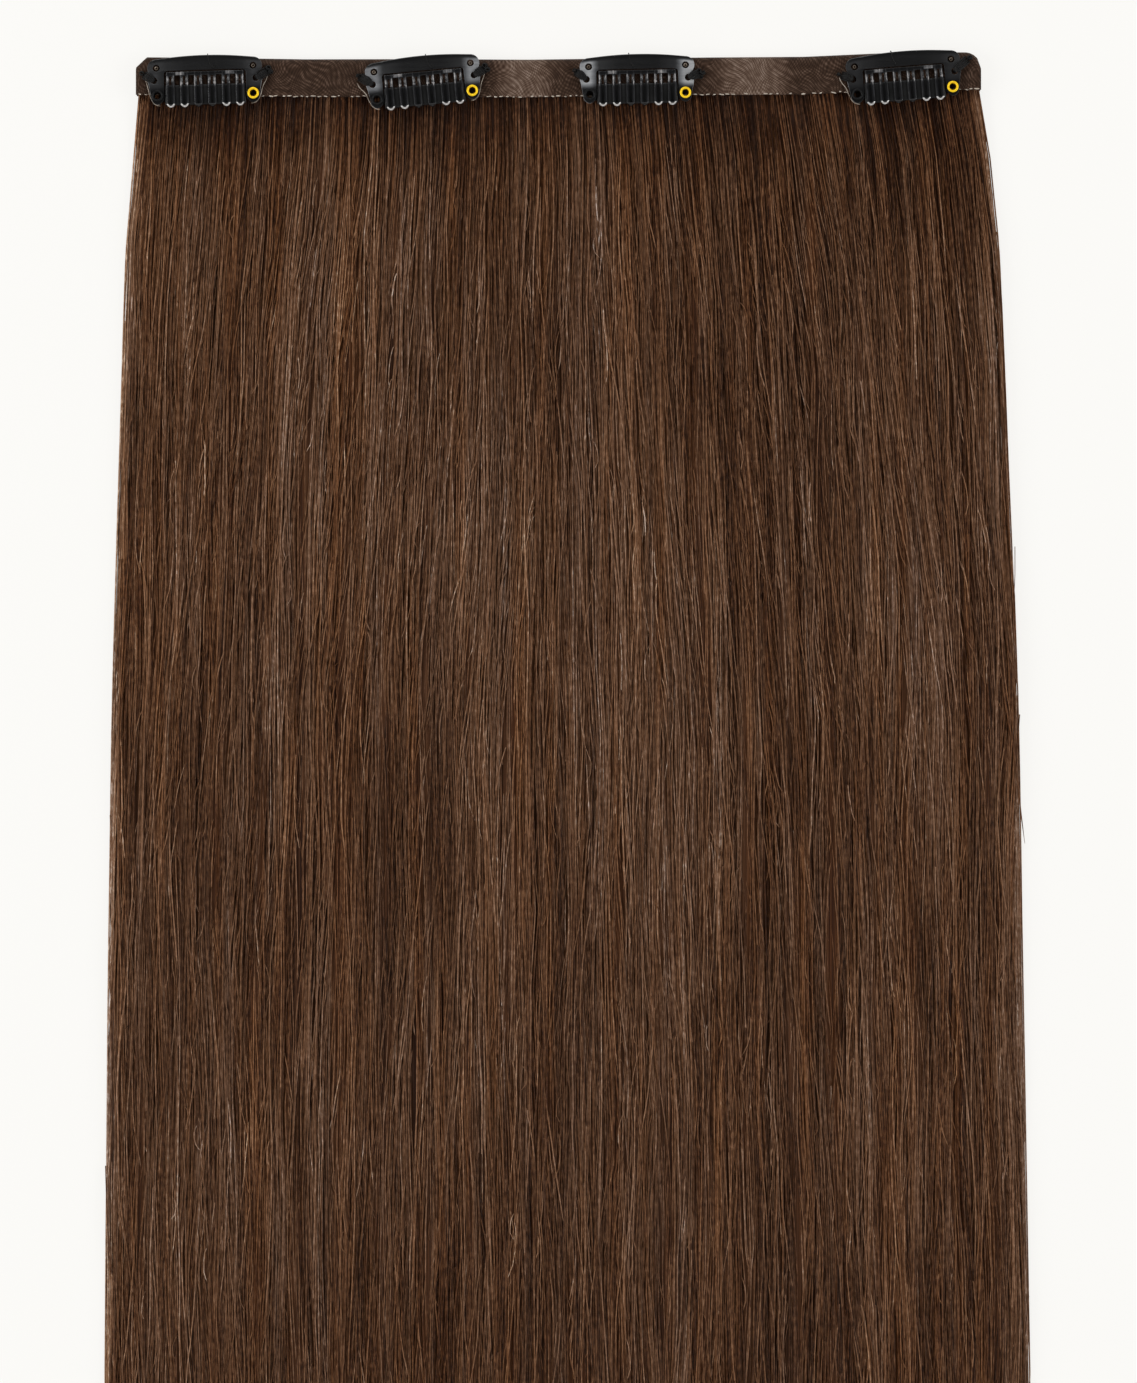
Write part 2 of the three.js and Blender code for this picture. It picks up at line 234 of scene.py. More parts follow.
def fill_inputs(tree, node, inputs):
    """Sets or links a node's inputs by name."""
    for name, value in inputs.items():
        socket = next(s for s in node.inputs if s.enabled and s.name == name)
        if isinstance(value, Amount):
            value = value.socket
        if isinstance(value, bpy.types.NodeSocket):
            tree.links.new(value, socket)
        else:
            socket.default_value = value


def add_node(tree, kind, inputs=None, **settings):
    """A node with its settings, and its inputs set or linked by name."""
    node = tree.nodes.new(kind)
    for name, value in settings.items():
        setattr(node, name, value)
    fill_inputs(tree, node, inputs or {})
    return node


def output_of(tree, kind, inputs=None, **settings):
    """The first output of a new node."""
    node = add_node(tree, kind, inputs, **settings)
    return next(s for s in node.outputs if s.enabled)


def amount_of(tree, kind, inputs=None, **settings):
    return Amount(tree, output_of(tree, kind, inputs, **settings))


def vector_of(tree, x, y, z):
    return output_of(tree, "ShaderNodeCombineXYZ", {"X": x, "Y": y, "Z": z})


def ripple(tree, x, y, z, scale=1.0, detail=0.0):
    """Smooth noise from about -1 to 1."""
    place = vector_of(tree, x, y, z)
    field = amount_of(tree, "ShaderNodeTexNoise", {"Vector": place, "Scale": scale, "Detail": detail})
    return field * 4 - 2


def table_curve(tree, value, table, key, column):
    """A column of a table, read by nodes. A curve node holds values up to 1, so it holds them halved."""
    first, last = table[0][key], table[-1][key]
    node = add_node(tree, "ShaderNodeFloatCurve", {"Value": (value - first) / (last - first)})
    points = node.mapping.curves[0].points
    for row in table[1:-1]:
        points.new((row[key] - first) / (last - first), row[column] / 2 + 0.25)
    points[0].location = (0, table[0][column] / 2 + 0.25)
    points[len(points) - 1].location = (1, table[-1][column] / 2 + 0.25)
    for point in points:
        point.handle_type = "VECTOR"
    node.mapping.update()
    return (Amount(tree, node.outputs["Value"]) - 0.25) * 2


def named(tree, name):
    return amount_of(tree, "GeometryNodeInputNamedAttribute", {"Name": name}, data_type="FLOAT")


def started_tree(name, counts, amounts):
    """An empty tree for Geometry Nodes with its named inputs, and its group input and output nodes."""
    tree = bpy.data.node_groups.new(name, "GeometryNodeTree")
    for labels, kind in ((counts, "Int"), (amounts, "Float"), (("Finish",), "Material")):
        for label in labels:
            tree.interface.new_socket(label, in_out="INPUT", socket_type="NodeSocket" + kind)
    tree.interface.new_socket("Mesh", in_out="OUTPUT", socket_type="NodeSocketGeometry")
    return tree, tree.nodes.new("NodeGroupInput").outputs, tree.nodes.new("NodeGroupOutput").inputs


def placed(name, mesh):
    mesh.name = name
    piece = bpy.data.objects.new(name, mesh)
    bpy.context.scene.collection.objects.link(piece)
    return piece


def grown(name, tree, settings):
    """What a tree makes from nothing, kept as a plain mesh object."""
    maker = bpy.data.objects.new(name + "_maker", bpy.data.meshes.new(name + "_maker"))
    bpy.context.scene.collection.objects.link(maker)
    modifier = maker.modifiers.new("grow", "NODES")
    modifier.node_group = tree
    for item in tree.interface.items_tree:
        if item.in_out == "INPUT" and item.name in settings:
            modifier[item.identifier] = settings[item.name]
    shape = maker.evaluated_get(bpy.context.evaluated_depsgraph_get())
    mesh = bpy.data.meshes.new_from_object(shape)
    bpy.data.objects.remove(maker)
    return placed(name, mesh)


def started_finish(name):
    """An empty material and its tree."""
    finish = bpy.data.materials.new(name)
    finish.use_nodes = True
    return finish, finish.node_tree


def finished(finish, inputs):
    """The material, with its shader's inputs set or linked by name."""
    tree = finish.node_tree
    fill_inputs(tree, tree.nodes["Principled BSDF"], inputs)
    return finish


def spot_on(tree):
    """The place on the piece, in metres."""
    return add_node(tree, "ShaderNodeTexCoord").outputs["Object"]


def noise_over(tree, spot, scale, detail):
    """Smooth noise from 0 to 1. A scale of three numbers stretches it."""
    if isinstance(scale, tuple):
        spot = output_of(tree, "ShaderNodeMapping", {"Vector": spot, "Scale": scale})
        scale = 1.0
    return amount_of(tree, "ShaderNodeTexNoise", {"Vector": spot, "Scale": scale, "Detail": detail})


def bumps(tree, height, strength, depth):
    return output_of(tree, "ShaderNodeBump", {"Height": height, "Strength": strength, "Distance": depth})


def ramp(tree, value, stops):
    """Colours for the values from 0 to 1: each stop is a place and a linear colour."""
    node = add_node(tree, "ShaderNodeValToRGB", {"Fac": value})
    for place, colour in stops[1:-1]:
        node.color_ramp.elements.new(place)
    for element, (place, colour) in zip(node.color_ramp.elements, stops):
        element.position = place
        element.color = (*colour, 1)
    return node.outputs["Color"]


# Brown from the darkest root shade to the fairest single fibres, the tints of whole locks, and how far a
# fibre's shade drifts along it.
hair_shades = [
    (0.0, (0.017, 0.0052, 0.0016)),
    (0.25, (0.068, 0.026, 0.010)),
    (0.5, (0.145, 0.066, 0.030)),
    (0.75, (0.245, 0.130, 0.073)),
    (0.92, (0.37, 0.232, 0.153)),
    (1.0, (0.54, 0.40, 0.31)),
]
hair_tints = [(0.25, (1.1, 0.97, 0.78)), (0.5, (1, 1, 1)), (0.75, (0.95, 1.03, 1.18))]
shade_drift = 0.9


def stored_value(tree, name):
    node = add_node(tree, "ShaderNodeAttribute", attribute_name=name, attribute_type="GEOMETRY")
    return Amount(tree, node.outputs["Fac"])


def tinted(tree, spot, colour):
    """The colour, redder in some locks and ashier in others."""
    field = noise_over(tree, spot, (270, 9, 120), 2.0)
    return output_of(tree, "ShaderNodeMix", {
        "Factor": 1.0, "A": colour, "B": ramp(tree, field, hair_tints)},
        data_type="RGBA", blend_type="MULTIPLY")


def hair_finish():
    """Fibres with a soft gloss. Each strand has its own shade, which drifts a little along it."""
    finish, tree = started_finish("hair")
    spot = spot_on(tree)
    drift = noise_over(tree, spot, (1300, 600, 1300), 3.0)
    tone = stored_value(tree, "tone") + (drift - 0.5) * shade_drift
    colour = tinted(tree, spot, ramp(tree, tone, hair_shades))
    return finished(finish, {"Base Color": colour, "Roughness": 0.42, "Specular IOR Level": 0.1})


def bed_finish():
    """The hair under the strands: the same browns, painted darker as shade, in fine streaks with fine
    grooves.
    """
    finish, tree = started_finish("hair_bed")
    spot = spot_on(tree)
    streak = noise_over(tree, spot, (2600, 16, 900), 3.0)
    lock = noise_over(tree, spot, (420, 7, 300), 2.0)
    # Painted shade: the bed's browns are set darker than the strands'.
    colour = tinted(tree, spot, ramp(tree, streak * 0.7 + lock * 0.5 - 0.45, hair_shades))
    return finished(finish, {
        "Base Color": colour, "Normal": bumps(tree, streak, 0.8, 0.3 * mm), "Roughness": 0.5,
        "Specular IOR Level": 0.08})


def outward(mesh, merge=0.0):
    """The mesh with doubles merged, its faces pointing out and its shading smooth."""
    work = bmesh.new()
    work.from_mesh(mesh)
    if merge:
        bmesh.ops.remove_doubles(work, verts=work.verts, dist=merge)
        bmesh.ops.dissolve_degenerate(work, edges=work.edges, dist=merge / 10)
    bmesh.ops.recalc_face_normals(work, faces=work.faces)
    work.to_mesh(mesh)
    work.free()
    mesh.shade_smooth()
    return mesh


def lofted(rings, is_closed_at_ends=True):
    """A closed skin over rings of points, each with as many points as the next."""
    count = len(rings[0])
    points = [point for ring in rings for point in ring]
    faces = []
    for r in range(len(rings) - 1):
        for c in range(count):
            a, b = r * count + c, r * count + (c + 1) % count
            faces.append((a, b, b + count, a + count))
    if is_closed_at_ends:
        last = (len(rings) - 1) * count
        for c in range(count // 2 - 1):
            a, b, d, e = c, c + 1, count - 2 - c, count - 1 - c
            faces.append((a, e, d, b))
            faces.append((last + a, last + b, last + d, last + e))
    mesh = bpy.data.meshes.new("lofted")
    mesh.from_pydata(points, [], faces)
    return outward(mesh)


def hair_bed():
    """A closed sheet of locks side by side, which comes apart into many uneven points at the tips."""
    luck = random.Random(tip_seed)
    short = [luck.random() for _ in range(tip_count + 1)]
    rings = []
    for row in range(bed_rows + 1):
        down = row / bed_rows * bed_end
        thick = between(curtain, "down", down, "thick") * hair_thickness * bed_share
        freeing = eased(down, tips_begin, bed_end)
        top, bottom = [], []
        for c in range(bed_columns + 1):
            across = c / bed_columns
            inset = bed_inset / band_half * eased(down, 0.01, 0.08)
            left = between(curtain, "down", down, "left") - inset
            right = between(curtain, "down", down, "right") - inset
            x = (-left + across * (left + right)) * band_half
            crest = abs(math.sin(math.pi * across * lock_count))
            point = abs(math.sin(math.pi * across * tip_count))
            shortening = freeing * (tip_notch * (1 - point) + tip_scatter * short[int(across * tip_count)])
            y = -band_height / 2 - down * hair_length + shortening
            y += band_rise(x) * (1 - eased(down, 0, 0.1))
            rim = eased(min(across, 1 - across), 0, bed_rim)
            height = thick * (1 - lock_groove * (1 - crest)) * (0.35 + 0.65 * rim)
            height *= 1 - freeing * (0.4 + 0.5 * (1 - point))
            low = 0.05 * mm + 0.3 * height * (1 - rim)
            root = 1 - eased(down, 0, bed_root)
            top.append((x, y, height * (1 - root) + (header_high - 0.3 * mm) * root))
            bottom.append((x, y, low * (1 - root) + header_low * root))
        rings.append(top + bottom[::-1])
    return lofted(rings)


# How far the hair fans out, how far its locks, clumps and single strands sway aside, bow and lift, and how
# much lower a clump's flanks lie. The lowest and highest strands keep clear of the table and the band.
clump_count = 105
hair_fan = 5.0 * mm
lock_sway = 1.3 * mm
clump_sway = 1.0 * mm
strand_sway = 0.7 * mm
strand_waver = 0.3 * mm
strand_bow = 1.0 * mm
strand_lift = 0.35 * mm
clump_round = 1.6 * mm
strand_lowest = 0.2 * mm
strand_highest = hair_thickness - 0.1 * mm

# How much darker or paler whole parts of the hair are painted, as painted shade and painted highlights, in
# shares of the range of hair_shades.
root_shade = 0.6
root_shade_eases = 0.36
right_root_shade = 0.23
middle_shine = 0.1
middle_of_shine = {"across": 0.47, "down": 0.32}
side_shine = 0.6
tip_shade = 0.06
right_tip_shade = 0.05


def strand_tree():
    """Strands that hang from the header to the tips, or wisps that come up and go under again."""
    tree, given, made = started_tree(
        "strands", counts=("Strands", "Bends", "Seed"),
        amounts=("Width", "First start", "Last start", "Shortest", "Longest", "Lowest", "Highest", "Dive",
                 "Lean", "Fan", "Hook", "Shade", "Palest"))
    points = output_of(tree, "GeometryNodePoints", {"Count": given["Strands"]})
    own_values = {
        "across": (0, 1), "phase": (0, 900), "tone": (0, 1), "girth": (0.6, 1.35), "lean": (-1, 1),
        "start": (given["First start"], given["Last start"]),
        "reach": (given["Shortest"], given["Longest"]),
        "lift": (given["Lowest"], given["Highest"]),
    }
    for place, (name, (low, high)) in enumerate(own_values.items()):
        seed = Amount(tree, given["Seed"]) * 10 + place
        value = output_of(tree, "FunctionNodeRandomValue", {"Min": low, "Max": high, "Seed": seed})
        points = output_of(tree, "GeometryNodeStoreNamedAttribute",
                           {"Geometry": points, "Name": name, "Value": value}, data_type="FLOAT")
    line = output_of(tree, "GeometryNodeCurvePrimitiveLine", {"End": (0, -1, 0)})
    line = output_of(tree, "GeometryNodeResampleCurve", {"Curve": line, "Count": given["Bends"]})
    strands = output_of(tree, "GeometryNodeInstanceOnPoints", {"Points": points, "Instance": line})
    strands = output_of(tree, "GeometryNodeRealizeInstances", {"Geometry": strands})

    along = amount_of(tree, "GeometryNodeSplineParameter")
    across, phase, lift = named(tree, "across"), named(tree, "phase"), named(tree, "lift")
    start = named(tree, "start")
    reach = named(tree, "reach").worked("MINIMUM", 1 - start)
    down = start + along * reach
    left = table_curve(tree, down, curtain, "down", "left")
    right = table_curve(tree, down, curtain, "down", "right")
    thick = table_curve(tree, down, curtain, "down", "thick")
    rim = across.worked("MINIMUM", 1 - across).eased(0, 0.02)
    free = down.eased(0.0, 0.12) * rim

    # Strands gather in clumps that sway together, and each strand also sways by itself. Each layer has
    # its own clumps, so that they cross those of the next.
    layer = Amount(tree, given["Seed"])
    counted = across * clump_count + layer * 0.37
    clump = counted.worked("ROUND")
    beside = counted - clump
    clump_pull = ripple(tree, clump * 3.1 + layer * 7.7, down * 5, 2.5) * 0.35 + 0.4
    clump_pull = clump_pull.worked("MAXIMUM", 0).worked("MINIMUM", 0.8) * free
    x = (left * -1 + (across - beside / clump_count * clump_pull) * (left + right)) * band_half
    x = x - (across * (2 * math.pi)).worked("SINE") * down.eased(-0.1, 0.42) * hair_fan
    x = x + ripple(tree, across * 16, down * 4.5, 7.7) * free * lock_sway
    x = x + ripple(tree, clump * 5.3 + layer * 3.3, down * 9, 1.2) * free * clump_sway
    x = x + ripple(tree, phase, down * 8, 4.1) * free * strand_sway
    x = x + ripple(tree, phase, down * 26, 9.6) * free * strand_waver
    fan = (across * (2 * math.pi)).worked("SINE") * (1 - down.eased(0.3, 0.75)) * Amount(tree, given["Fan"])
    lean = (named(tree, "lean") * Amount(tree, given["Lean"]) - fan) * hair_length * reach
    x = x + (along - 0.5) * lean * free
    bow = (phase * 3.7).worked("SINE") * strand_bow
    x = x + ((along - 0.5) * (along - 0.5) * 4 - 0.33) * bow * free
    hook = (phase * 5.9).worked("SINE") * Amount(tree, given["Hook"])
    x = x + (along.eased(0.7, 1.0) + (1 - along.eased(0.0, 0.2)) * 0.6) * hook * free

    groove = (across * (math.pi * lock_count)).worked("SINE").worked("ABSOLUTE")
    height = thick * (1 - lock_groove * (1 - groove)) * (0.4 + 0.6 * rim) * hair_thickness
    ends = (along * math.pi).worked("SINE").worked("POWER", 0.35)
    z = height * lift + ripple(tree, phase, down * 17, 5.5) * strand_lift
    z = z - beside * beside * clump_pull * clump_round
    z = z - (1 - ends) * Amount(tree, given["Dive"])
    z = z.worked("MAXIMUM", strand_lowest).worked("MINIMUM", strand_highest)
    root_z = header_low + lift * (header_high - header_low)
    z = root_z + (z - root_z) * down.eased(0.0, 0.035)

    rise = table_curve(tree, x / band_half, band_line, "along", "rise") * band_height
    y = rise * (1 - down.eased(0, 0.1)) - down * hair_length - band_height / 2
    strands = output_of(tree, "GeometryNodeSetPosition",
                        {"Geometry": strands, "Position": vector_of(tree, x, y, z)})

    # Painted shade: strands low in the hair are darker, and so are a clump's flanks. Whole stretches of hair
    # are darker or paler at random. Under the band they are painted with its shade, deepest at the left.
    # Painted highlights lighten them along the hair's two sides and in the middle, and painted shade darkens
    # them towards the tips.
    patch = ripple(tree, across * 11, down * 3.5, 8.8, detail=1.0)
    clump_tone = ripple(tree, clump * 2.3 + layer * 5.1, down * 6, 3.3)
    tone = (named(tree, "tone") - 0.5) * 0.48 + patch * 0.09 + clump_tone * 0.15
    tone = tone - beside * beside * clump_pull * 0.9 + Amount(tree, given["Shade"])
    tone = tone - (1 - down.eased(-0.01, 0.055)) * (root_shade - across * root_shade_eases)
    tone = tone - across.worked("POWER", 4) * (1 - down.eased(0.03, 0.16)) * right_root_shade
    aside = across - middle_of_shine["across"]
    below = down - middle_of_shine["down"]
    tone = tone + (1 - (aside * aside * 18 + below * below * 28).eased(0.0, 1.0)) * middle_shine
    tone = tone - down.eased(0.62, 0.84) * (across * right_tip_shade + tip_shade)
    tone = tone + (1 - rim) * side_shine
    tone = tone.worked("MINIMUM", Amount(tree, given["Palest"]))
    strands = output_of(tree, "GeometryNodeStoreNamedAttribute",
                        {"Geometry": strands, "Name": "tone", "Value": tone}, data_type="FLOAT")
    strands = output_of(tree, "GeometryNodeSetCurveNormal", {"Curve": strands}, mode="Z_UP")
    taper = 1 - along.eased(0.92, 1.0) * 0.75
    girth = named(tree, "girth") * taper * Amount(tree, given["Width"]) * 0.5
    section = output_of(tree, "GeometryNodeCurvePrimitiveCircle", {"Resolution": 3, "Radius": 1.0})
    tubes = output_of(tree, "GeometryNodeCurveToMesh",
                      {"Curve": strands, "Profile Curve": section, "Scale": girth, "Fill Caps": True})
    tubes = output_of(tree, "GeometryNodeRealizeInstances", {"Geometry": tubes})
    tubes = output_of(tree, "GeometryNodeSetMaterial", {"Geometry": tubes, "Material": given["Finish"]})
    tree.links.new(tubes, made["Mesh"])
    return tree


# Each layer of strands, from the bed up. Starts and reaches are shares of the hair's length, and lowest
# and highest are shares of its thickness. Long strands all start under the band and lie plainly. Wisps
# come up out of the hair anywhere and dive back into it.
long_strand = {"First start": -0.006, "Last start": -0.004, "Dive": 0.0, "Fan": 0.0, "Hook": 0.0}
# Each layer's Shade is painted shade: the layers lower in the hair are painted darker.
hair_layers = [
    {"name": "hair_under", "Strands": 700, "Bends": 15, "Seed": 1, "Width": 0.5 * mm,
     **long_strand, "Shortest": 0.93, "Longest": 0.995, "Lowest": 0.4, "Highest": 0.7, "Lean": 0.01,
     "Shade": 0.26, "Palest": 0.6},
    {"name": "hair_middle", "Strands": 900, "Bends": 22, "Seed": 2, "Width": 0.4 * mm,
     **long_strand, "Shortest": 0.95, "Longest": 1.0, "Lowest": 0.6, "Highest": 0.88, "Lean": 0.012,
     "Shade": 0.42, "Palest": 0.78},
    {"name": "hair_upper", "Strands": 850, "Bends": 22, "Seed": 3, "Width": 0.36 * mm,
     **long_strand, "Shortest": 0.9, "Longest": 1.0, "Lowest": 0.76, "Highest": 0.96, "Lean": 0.014,
     "Shade": 0.5, "Palest": 0.86},
    {"name": "hair_wisps", "Strands": 2300, "Bends": 11, "Seed": 4, "Width": 0.38 * mm,
     "First start": 0.0, "Last start": 0.85, "Shortest": 0.1, "Longest": 0.24, "Lowest": 0.84,
     "Highest": 1.0, "Dive": 1.2 * mm, "Lean": 0.07, "Fan": 0.05, "Hook": 0.5 * mm, "Shade": 0.5,
     "Palest": 0.76},
    {"name": "hair_fine_wisps", "Strands": 2400, "Bends": 10, "Seed": 5, "Width": 0.3 * mm,
     "First start": 0.0, "Last start": 0.88, "Shortest": 0.06, "Longest": 0.15, "Lowest": 0.88,
     "Highest": 1.02, "Dive": 1.2 * mm, "Lean": 0.1, "Fan": 0.07, "Hook": 0.8 * mm, "Shade": 0.52,
     "Palest": 0.84},
    {"name": "hair_short_wisps", "Strands": 4400, "Bends": 8, "Seed": 6, "Width": 0.3 * mm,
     "First start": 0.0, "Last start": 0.95, "Shortest": 0.015, "Longest": 0.05, "Lowest": 0.9,
     "Highest": 1.04, "Dive": 1.0 * mm, "Lean": 0.13, "Fan": 0.08, "Hook": 0.9 * mm, "Shade": 0.55,
     "Palest": 1.0},
]

bed = placed("hair_bed", hair_bed())
bed.data.materials.append(bed_finish())
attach(bed, "weft")
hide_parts("hair")
strand_finish = hair_finish()
hair_tree = strand_tree()
for layer in hair_layers:
    strands = grown(layer["name"], hair_tree, {**layer, "Finish": strand_finish})
    for leftover in ("across", "phase", "girth", "lean", "start", "reach", "lift"):
        strands.data.attributes.remove(strands.data.attributes[leftover])
    strands.data.shade_smooth()
    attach(strands, "weft")

# The band is a strip of brown woven lace, folded over its top edge round the header of the hair. It is
# machine sewn shut along its lower edge, and the clips sewn on to it pull it into small creases.
lace_wall = 0.5 * mm
band_steps = 236
layer_steps = 16
fold_steps = 8
left_cut = 2.9 * mm
right_round = 4.4 * mm
lace_pucker = 0.16 * mm
edge_waver = 0.12 * mm


def band_trim(x):
    """How much of the band's top edge is cut away: a slant at the left end and a round at the right one."""
    slant = max(0, left_cut - (x + band_half))
    inset = min(max(right_round - (band_half - x), 0), right_round)
    return slant + right_round - math.sqrt(right_round ** 2 - inset ** 2)


def fold_path():
    """The strip in section: under the header, round the fold and back over it."""
    half = band_height / 2
    low, high = lace_wall / 2, band_thickness - lace_wall / 2
    bend = (high - low) / 2
    run = 2 * half - bend - low
    under = [(-half + run * i / layer_steps, low) for i in range(layer_steps)]
    fold = [(-half + run + bend * math.sin(turn), low + bend - bend * math.cos(turn))
            for turn in (math.pi * i / fold_steps for i in range(fold_steps + 1))]
    over = [(-half + run * (1 - (i + 1) / layer_steps), high) for i in range(layer_steps)]
    return under + fold + over


def add_strip_map(mesh, path_count, lengths):
    """A map of the flat strip in millimetres: along the band, and round it from hem to hem."""
    strip = mesh.uv_layers.new(name="strip")
    for loop in mesh.loops:
        place = loop.vertex_index % (2 * path_count)
        across = min(place, 2 * path_count - 1 - place)
        strip.data[loop.index].uv = (mesh.vertices[loop.vertex_index].co.x / mm, lengths[across] / mm)


def band_mesh():
    path = fold_path()
    half = band_height / 2
    lengths = [0]
    for before, after in zip(path, path[1:]):
        lengths.append(lengths[-1] + math.dist(before, after))
    rings = []
    for step in range(band_steps + 1):
        x = -band_half + 2 * band_half * step / band_steps
        narrowing = (2 * half - band_trim(x)) / (2 * half)
        outer, inner = [], []
        for i, (y, z) in enumerate(path):
            before, after = path[max(i - 1, 0)], path[min(i + 1, len(path) - 1)]
            run = Vector((after[0] - before[0], after[1] - before[1])).normalized()
            side = Vector((run.y, -run.x))
            loose = eased(lengths[i], lengths[-1] * 0.55, lengths[-1] * 0.7)
            place = Vector((x * 260, lengths[i] * 420, 3.7))
            pucker = (noise.noise(place) + 0.5 * noise.noise(place * 2.6)) * lace_pucker * loose
            hem = loose * eased(i, len(path) - 6, len(path) - 1)
            waver = noise.noise(Vector((x * 330, 8.1, 0))) * edge_waver * hem
            wide = -half + (y + half) * narrowing + waver + band_rise(x)
            for ring, shift in ((outer, lace_wall / 2), (inner, -lace_wall / 2)):
                ring.append((x, wide + side.x * shift, max(0, z + side.y * shift - abs(pucker))))
        rings.append(outer + inner[::-1])
    mesh = lofted(rings)
    add_strip_map(mesh, len(path), lengths)
    return mesh, lengths[-1]


# The two ways that the lace's threads run: their turn in degrees and how close together they are.
lace_threads = [(42, 0.34), (-38, 0.54)]

# Where painted sheen lies on the lace between the clips, as shares of the band's half length.
lace_gleams = [
    {"at": -0.08, "spread": 0.05, "light": 0.36},
    {"at": 0.46, "spread": 0.065, "light": 0.36},
]


def lace_finish():
    """Fine brown net: its threads run slanting in curved lines, with painted sheen on it between the clips.
    """
    finish, tree = started_finish("lace")
    strip = add_node(tree, "ShaderNodeUVMap", uv_map="strip").outputs["UV"]
    swirl = add_node(tree, "ShaderNodeTexNoise", {"Vector": strip, "Scale": 0.09, "Detail": 1.0})
    shift = add_node(tree, "ShaderNodeVectorMath", operation="SCALE")
    tree.links.new(swirl.outputs["Color"], shift.inputs[0])
    shift.inputs["Scale"].default_value = 10
    bent = add_node(tree, "ShaderNodeVectorMath", operation="ADD")
    tree.links.new(strip, bent.inputs[0])
    tree.links.new(shift.outputs[0], bent.inputs[1])
    threads = []
    for turn, scale in lace_threads:
        turned = output_of(tree, "ShaderNodeMapping",
                           {"Vector": bent.outputs[0], "Rotation": (0, 0, math.radians(turn))})
        threads.append(amount_of(tree, "ShaderNodeTexWave", {
            "Vector": turned, "Scale": scale, "Distortion": 0.8, "Detail": 1.0, "Detail Scale": 1.5}))
    # This patchy noise varies the threads, and it also adds painted sheen.
    worn_and_lit = noise_over(tree, strip, 0.5, 3.0)
    relief = threads[0] * (worn_and_lit.eased(0.3, 0.7) * 0.4 + 0.24) + threads[1] * 0.4 + worn_and_lit * 0.24
    place = add_node(tree, "ShaderNodeSeparateXYZ", {"Vector": strip})
    along = Amount(tree, place.outputs["X"]) * (mm / band_half)
    # Painted sheen: patchy all along, and strongest where lace_gleams places it.
    gleam = worn_and_lit.eased(0.3, 0.7) * 0.1 - 0.055
    for row in lace_gleams:
        far = (along - row["at"]) / row["spread"]
        gleam = gleam + (1 - (far * far).eased(0.0, 2.5)) * row["light"]
    colour = ramp(tree, relief * 0.52 + gleam, [
        (0.0, (0.016, 0.0080, 0.0042)), (0.3, (0.037, 0.0192, 0.0115)), (0.55, (0.084, 0.051, 0.035)),
        (0.8, (0.155, 0.106, 0.080)), (1.0, (0.25, 0.19, 0.155))])
    return finished(finish, {
        "Base Color": colour, "Normal": bumps(tree, relief, 0.5, 0.1 * mm), "Roughness": 0.66,
        "Specular IOR Level": 0.08, "Sheen Weight": 0.03})


band_shape, strip_width = band_mesh()
band = placed("band_lace", band_shape)
band.data.materials.append(lace_finish())
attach(band, "weft")
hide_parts("lace_band")

# A light polyester thread closes the band along its lower edge. Its short stitches roll over the hem, and
# some of them have sunk into the lace.
stitch_pitch = 1.75 * mm
stitch_length = 1.45 * mm
stitch_girth = 0.38 * mm
stitch_count = round(2 * band_half / stitch_pitch)


def stitch_tree():
    """Short rounded stitches in a row, each a little out of line."""
    tree, given, made = started_tree("stitches", counts=("Stitches", "Seed"), amounts=("Length", "Girth"))
    points = output_of(tree, "GeometryNodePoints", {"Count": given["Stitches"]})
    index = amount_of(tree, "GeometryNodeInputIndex")

    def chance(low, high, turn):
        seed = Amount(tree, given["Seed"]) * 10 + turn
        return amount_of(tree, "FunctionNodeRandomValue", {"Min": low, "Max": high, "Seed": seed})

    x = (index + 0.5 + chance(-0.2, 0.2, 1)) * (2 * band_half / stitch_count) - band_half
    rise = table_curve(tree, x / band_half, band_line, "along", "rise") * band_height
    y = rise - band_height / 2 + chance(0.0, 0.3, 2) * mm
    z = chance(-0.12, 0.02, 3) * mm + band_thickness
    points = output_of(tree, "GeometryNodeSetPosition",
                       {"Geometry": points, "Position": vector_of(tree, x, y, z)})
    stitch = output_of(tree, "GeometryNodeMeshUVSphere", {"Segments": 8, "Rings": 6, "Radius": 0.5})
    size = vector_of(tree, Amount(tree, given["Length"]) * chance(0.45, 1.15, 4),
                     Amount(tree, given["Girth"]) * chance(0.7, 1.2, 5), Amount(tree, given["Girth"]))
    turn = output_of(tree, "ShaderNodeCombineXYZ", {"X": 0.5, "Z": chance(-0.25, 0.25, 6)})
    row = output_of(tree, "GeometryNodeInstanceOnPoints", {
        "Points": points, "Selection": chance(-0.5, 3.6, 7).worked("GREATER_THAN", 0.0),
        "Instance": stitch, "Rotation": turn, "Scale": size})
    row = output_of(tree, "GeometryNodeRealizeInstances", {"Geometry": row})
    row = output_of(tree, "GeometryNodeSetMaterial", {"Geometry": row, "Material": given["Finish"]})
    tree.links.new(row, made["Mesh"])
    return tree


def sewing_thread_finish(name, lightness):
    """Twisted polyester thread, pale tan, with painted shade in the hollows of its twist."""
    finish, tree = started_finish(name)
    speck = noise_over(tree, spot_on(tree), 700.0, 2.0)
    # Painted shade: the thread is darker where its bumps are low.
    colour = ramp(tree, (speck - 0.5) * 0.8 + lightness, [
        (0.0, (0.035, 0.022, 0.013)), (0.3, (0.13, 0.095, 0.065)), (0.6, (0.46, 0.39, 0.32)),
        (1.0, (0.86, 0.80, 0.72))])
    twist = bumps(tree, speck, 0.5, 0.05 * mm)
    return finished(finish, {"Base Color": colour, "Normal": twist, "Roughness": 0.5})


light_thread = sewing_thread_finish("light_thread", 0.57)
hem = grown("hem_stitches", stitch_tree(), {
    "Stitches": stitch_count, "Length": stitch_length, "Girth": stitch_girth, "Seed": 11,
    "Finish": light_thread})
hem.data.shade_smooth()
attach(hem, "weft")

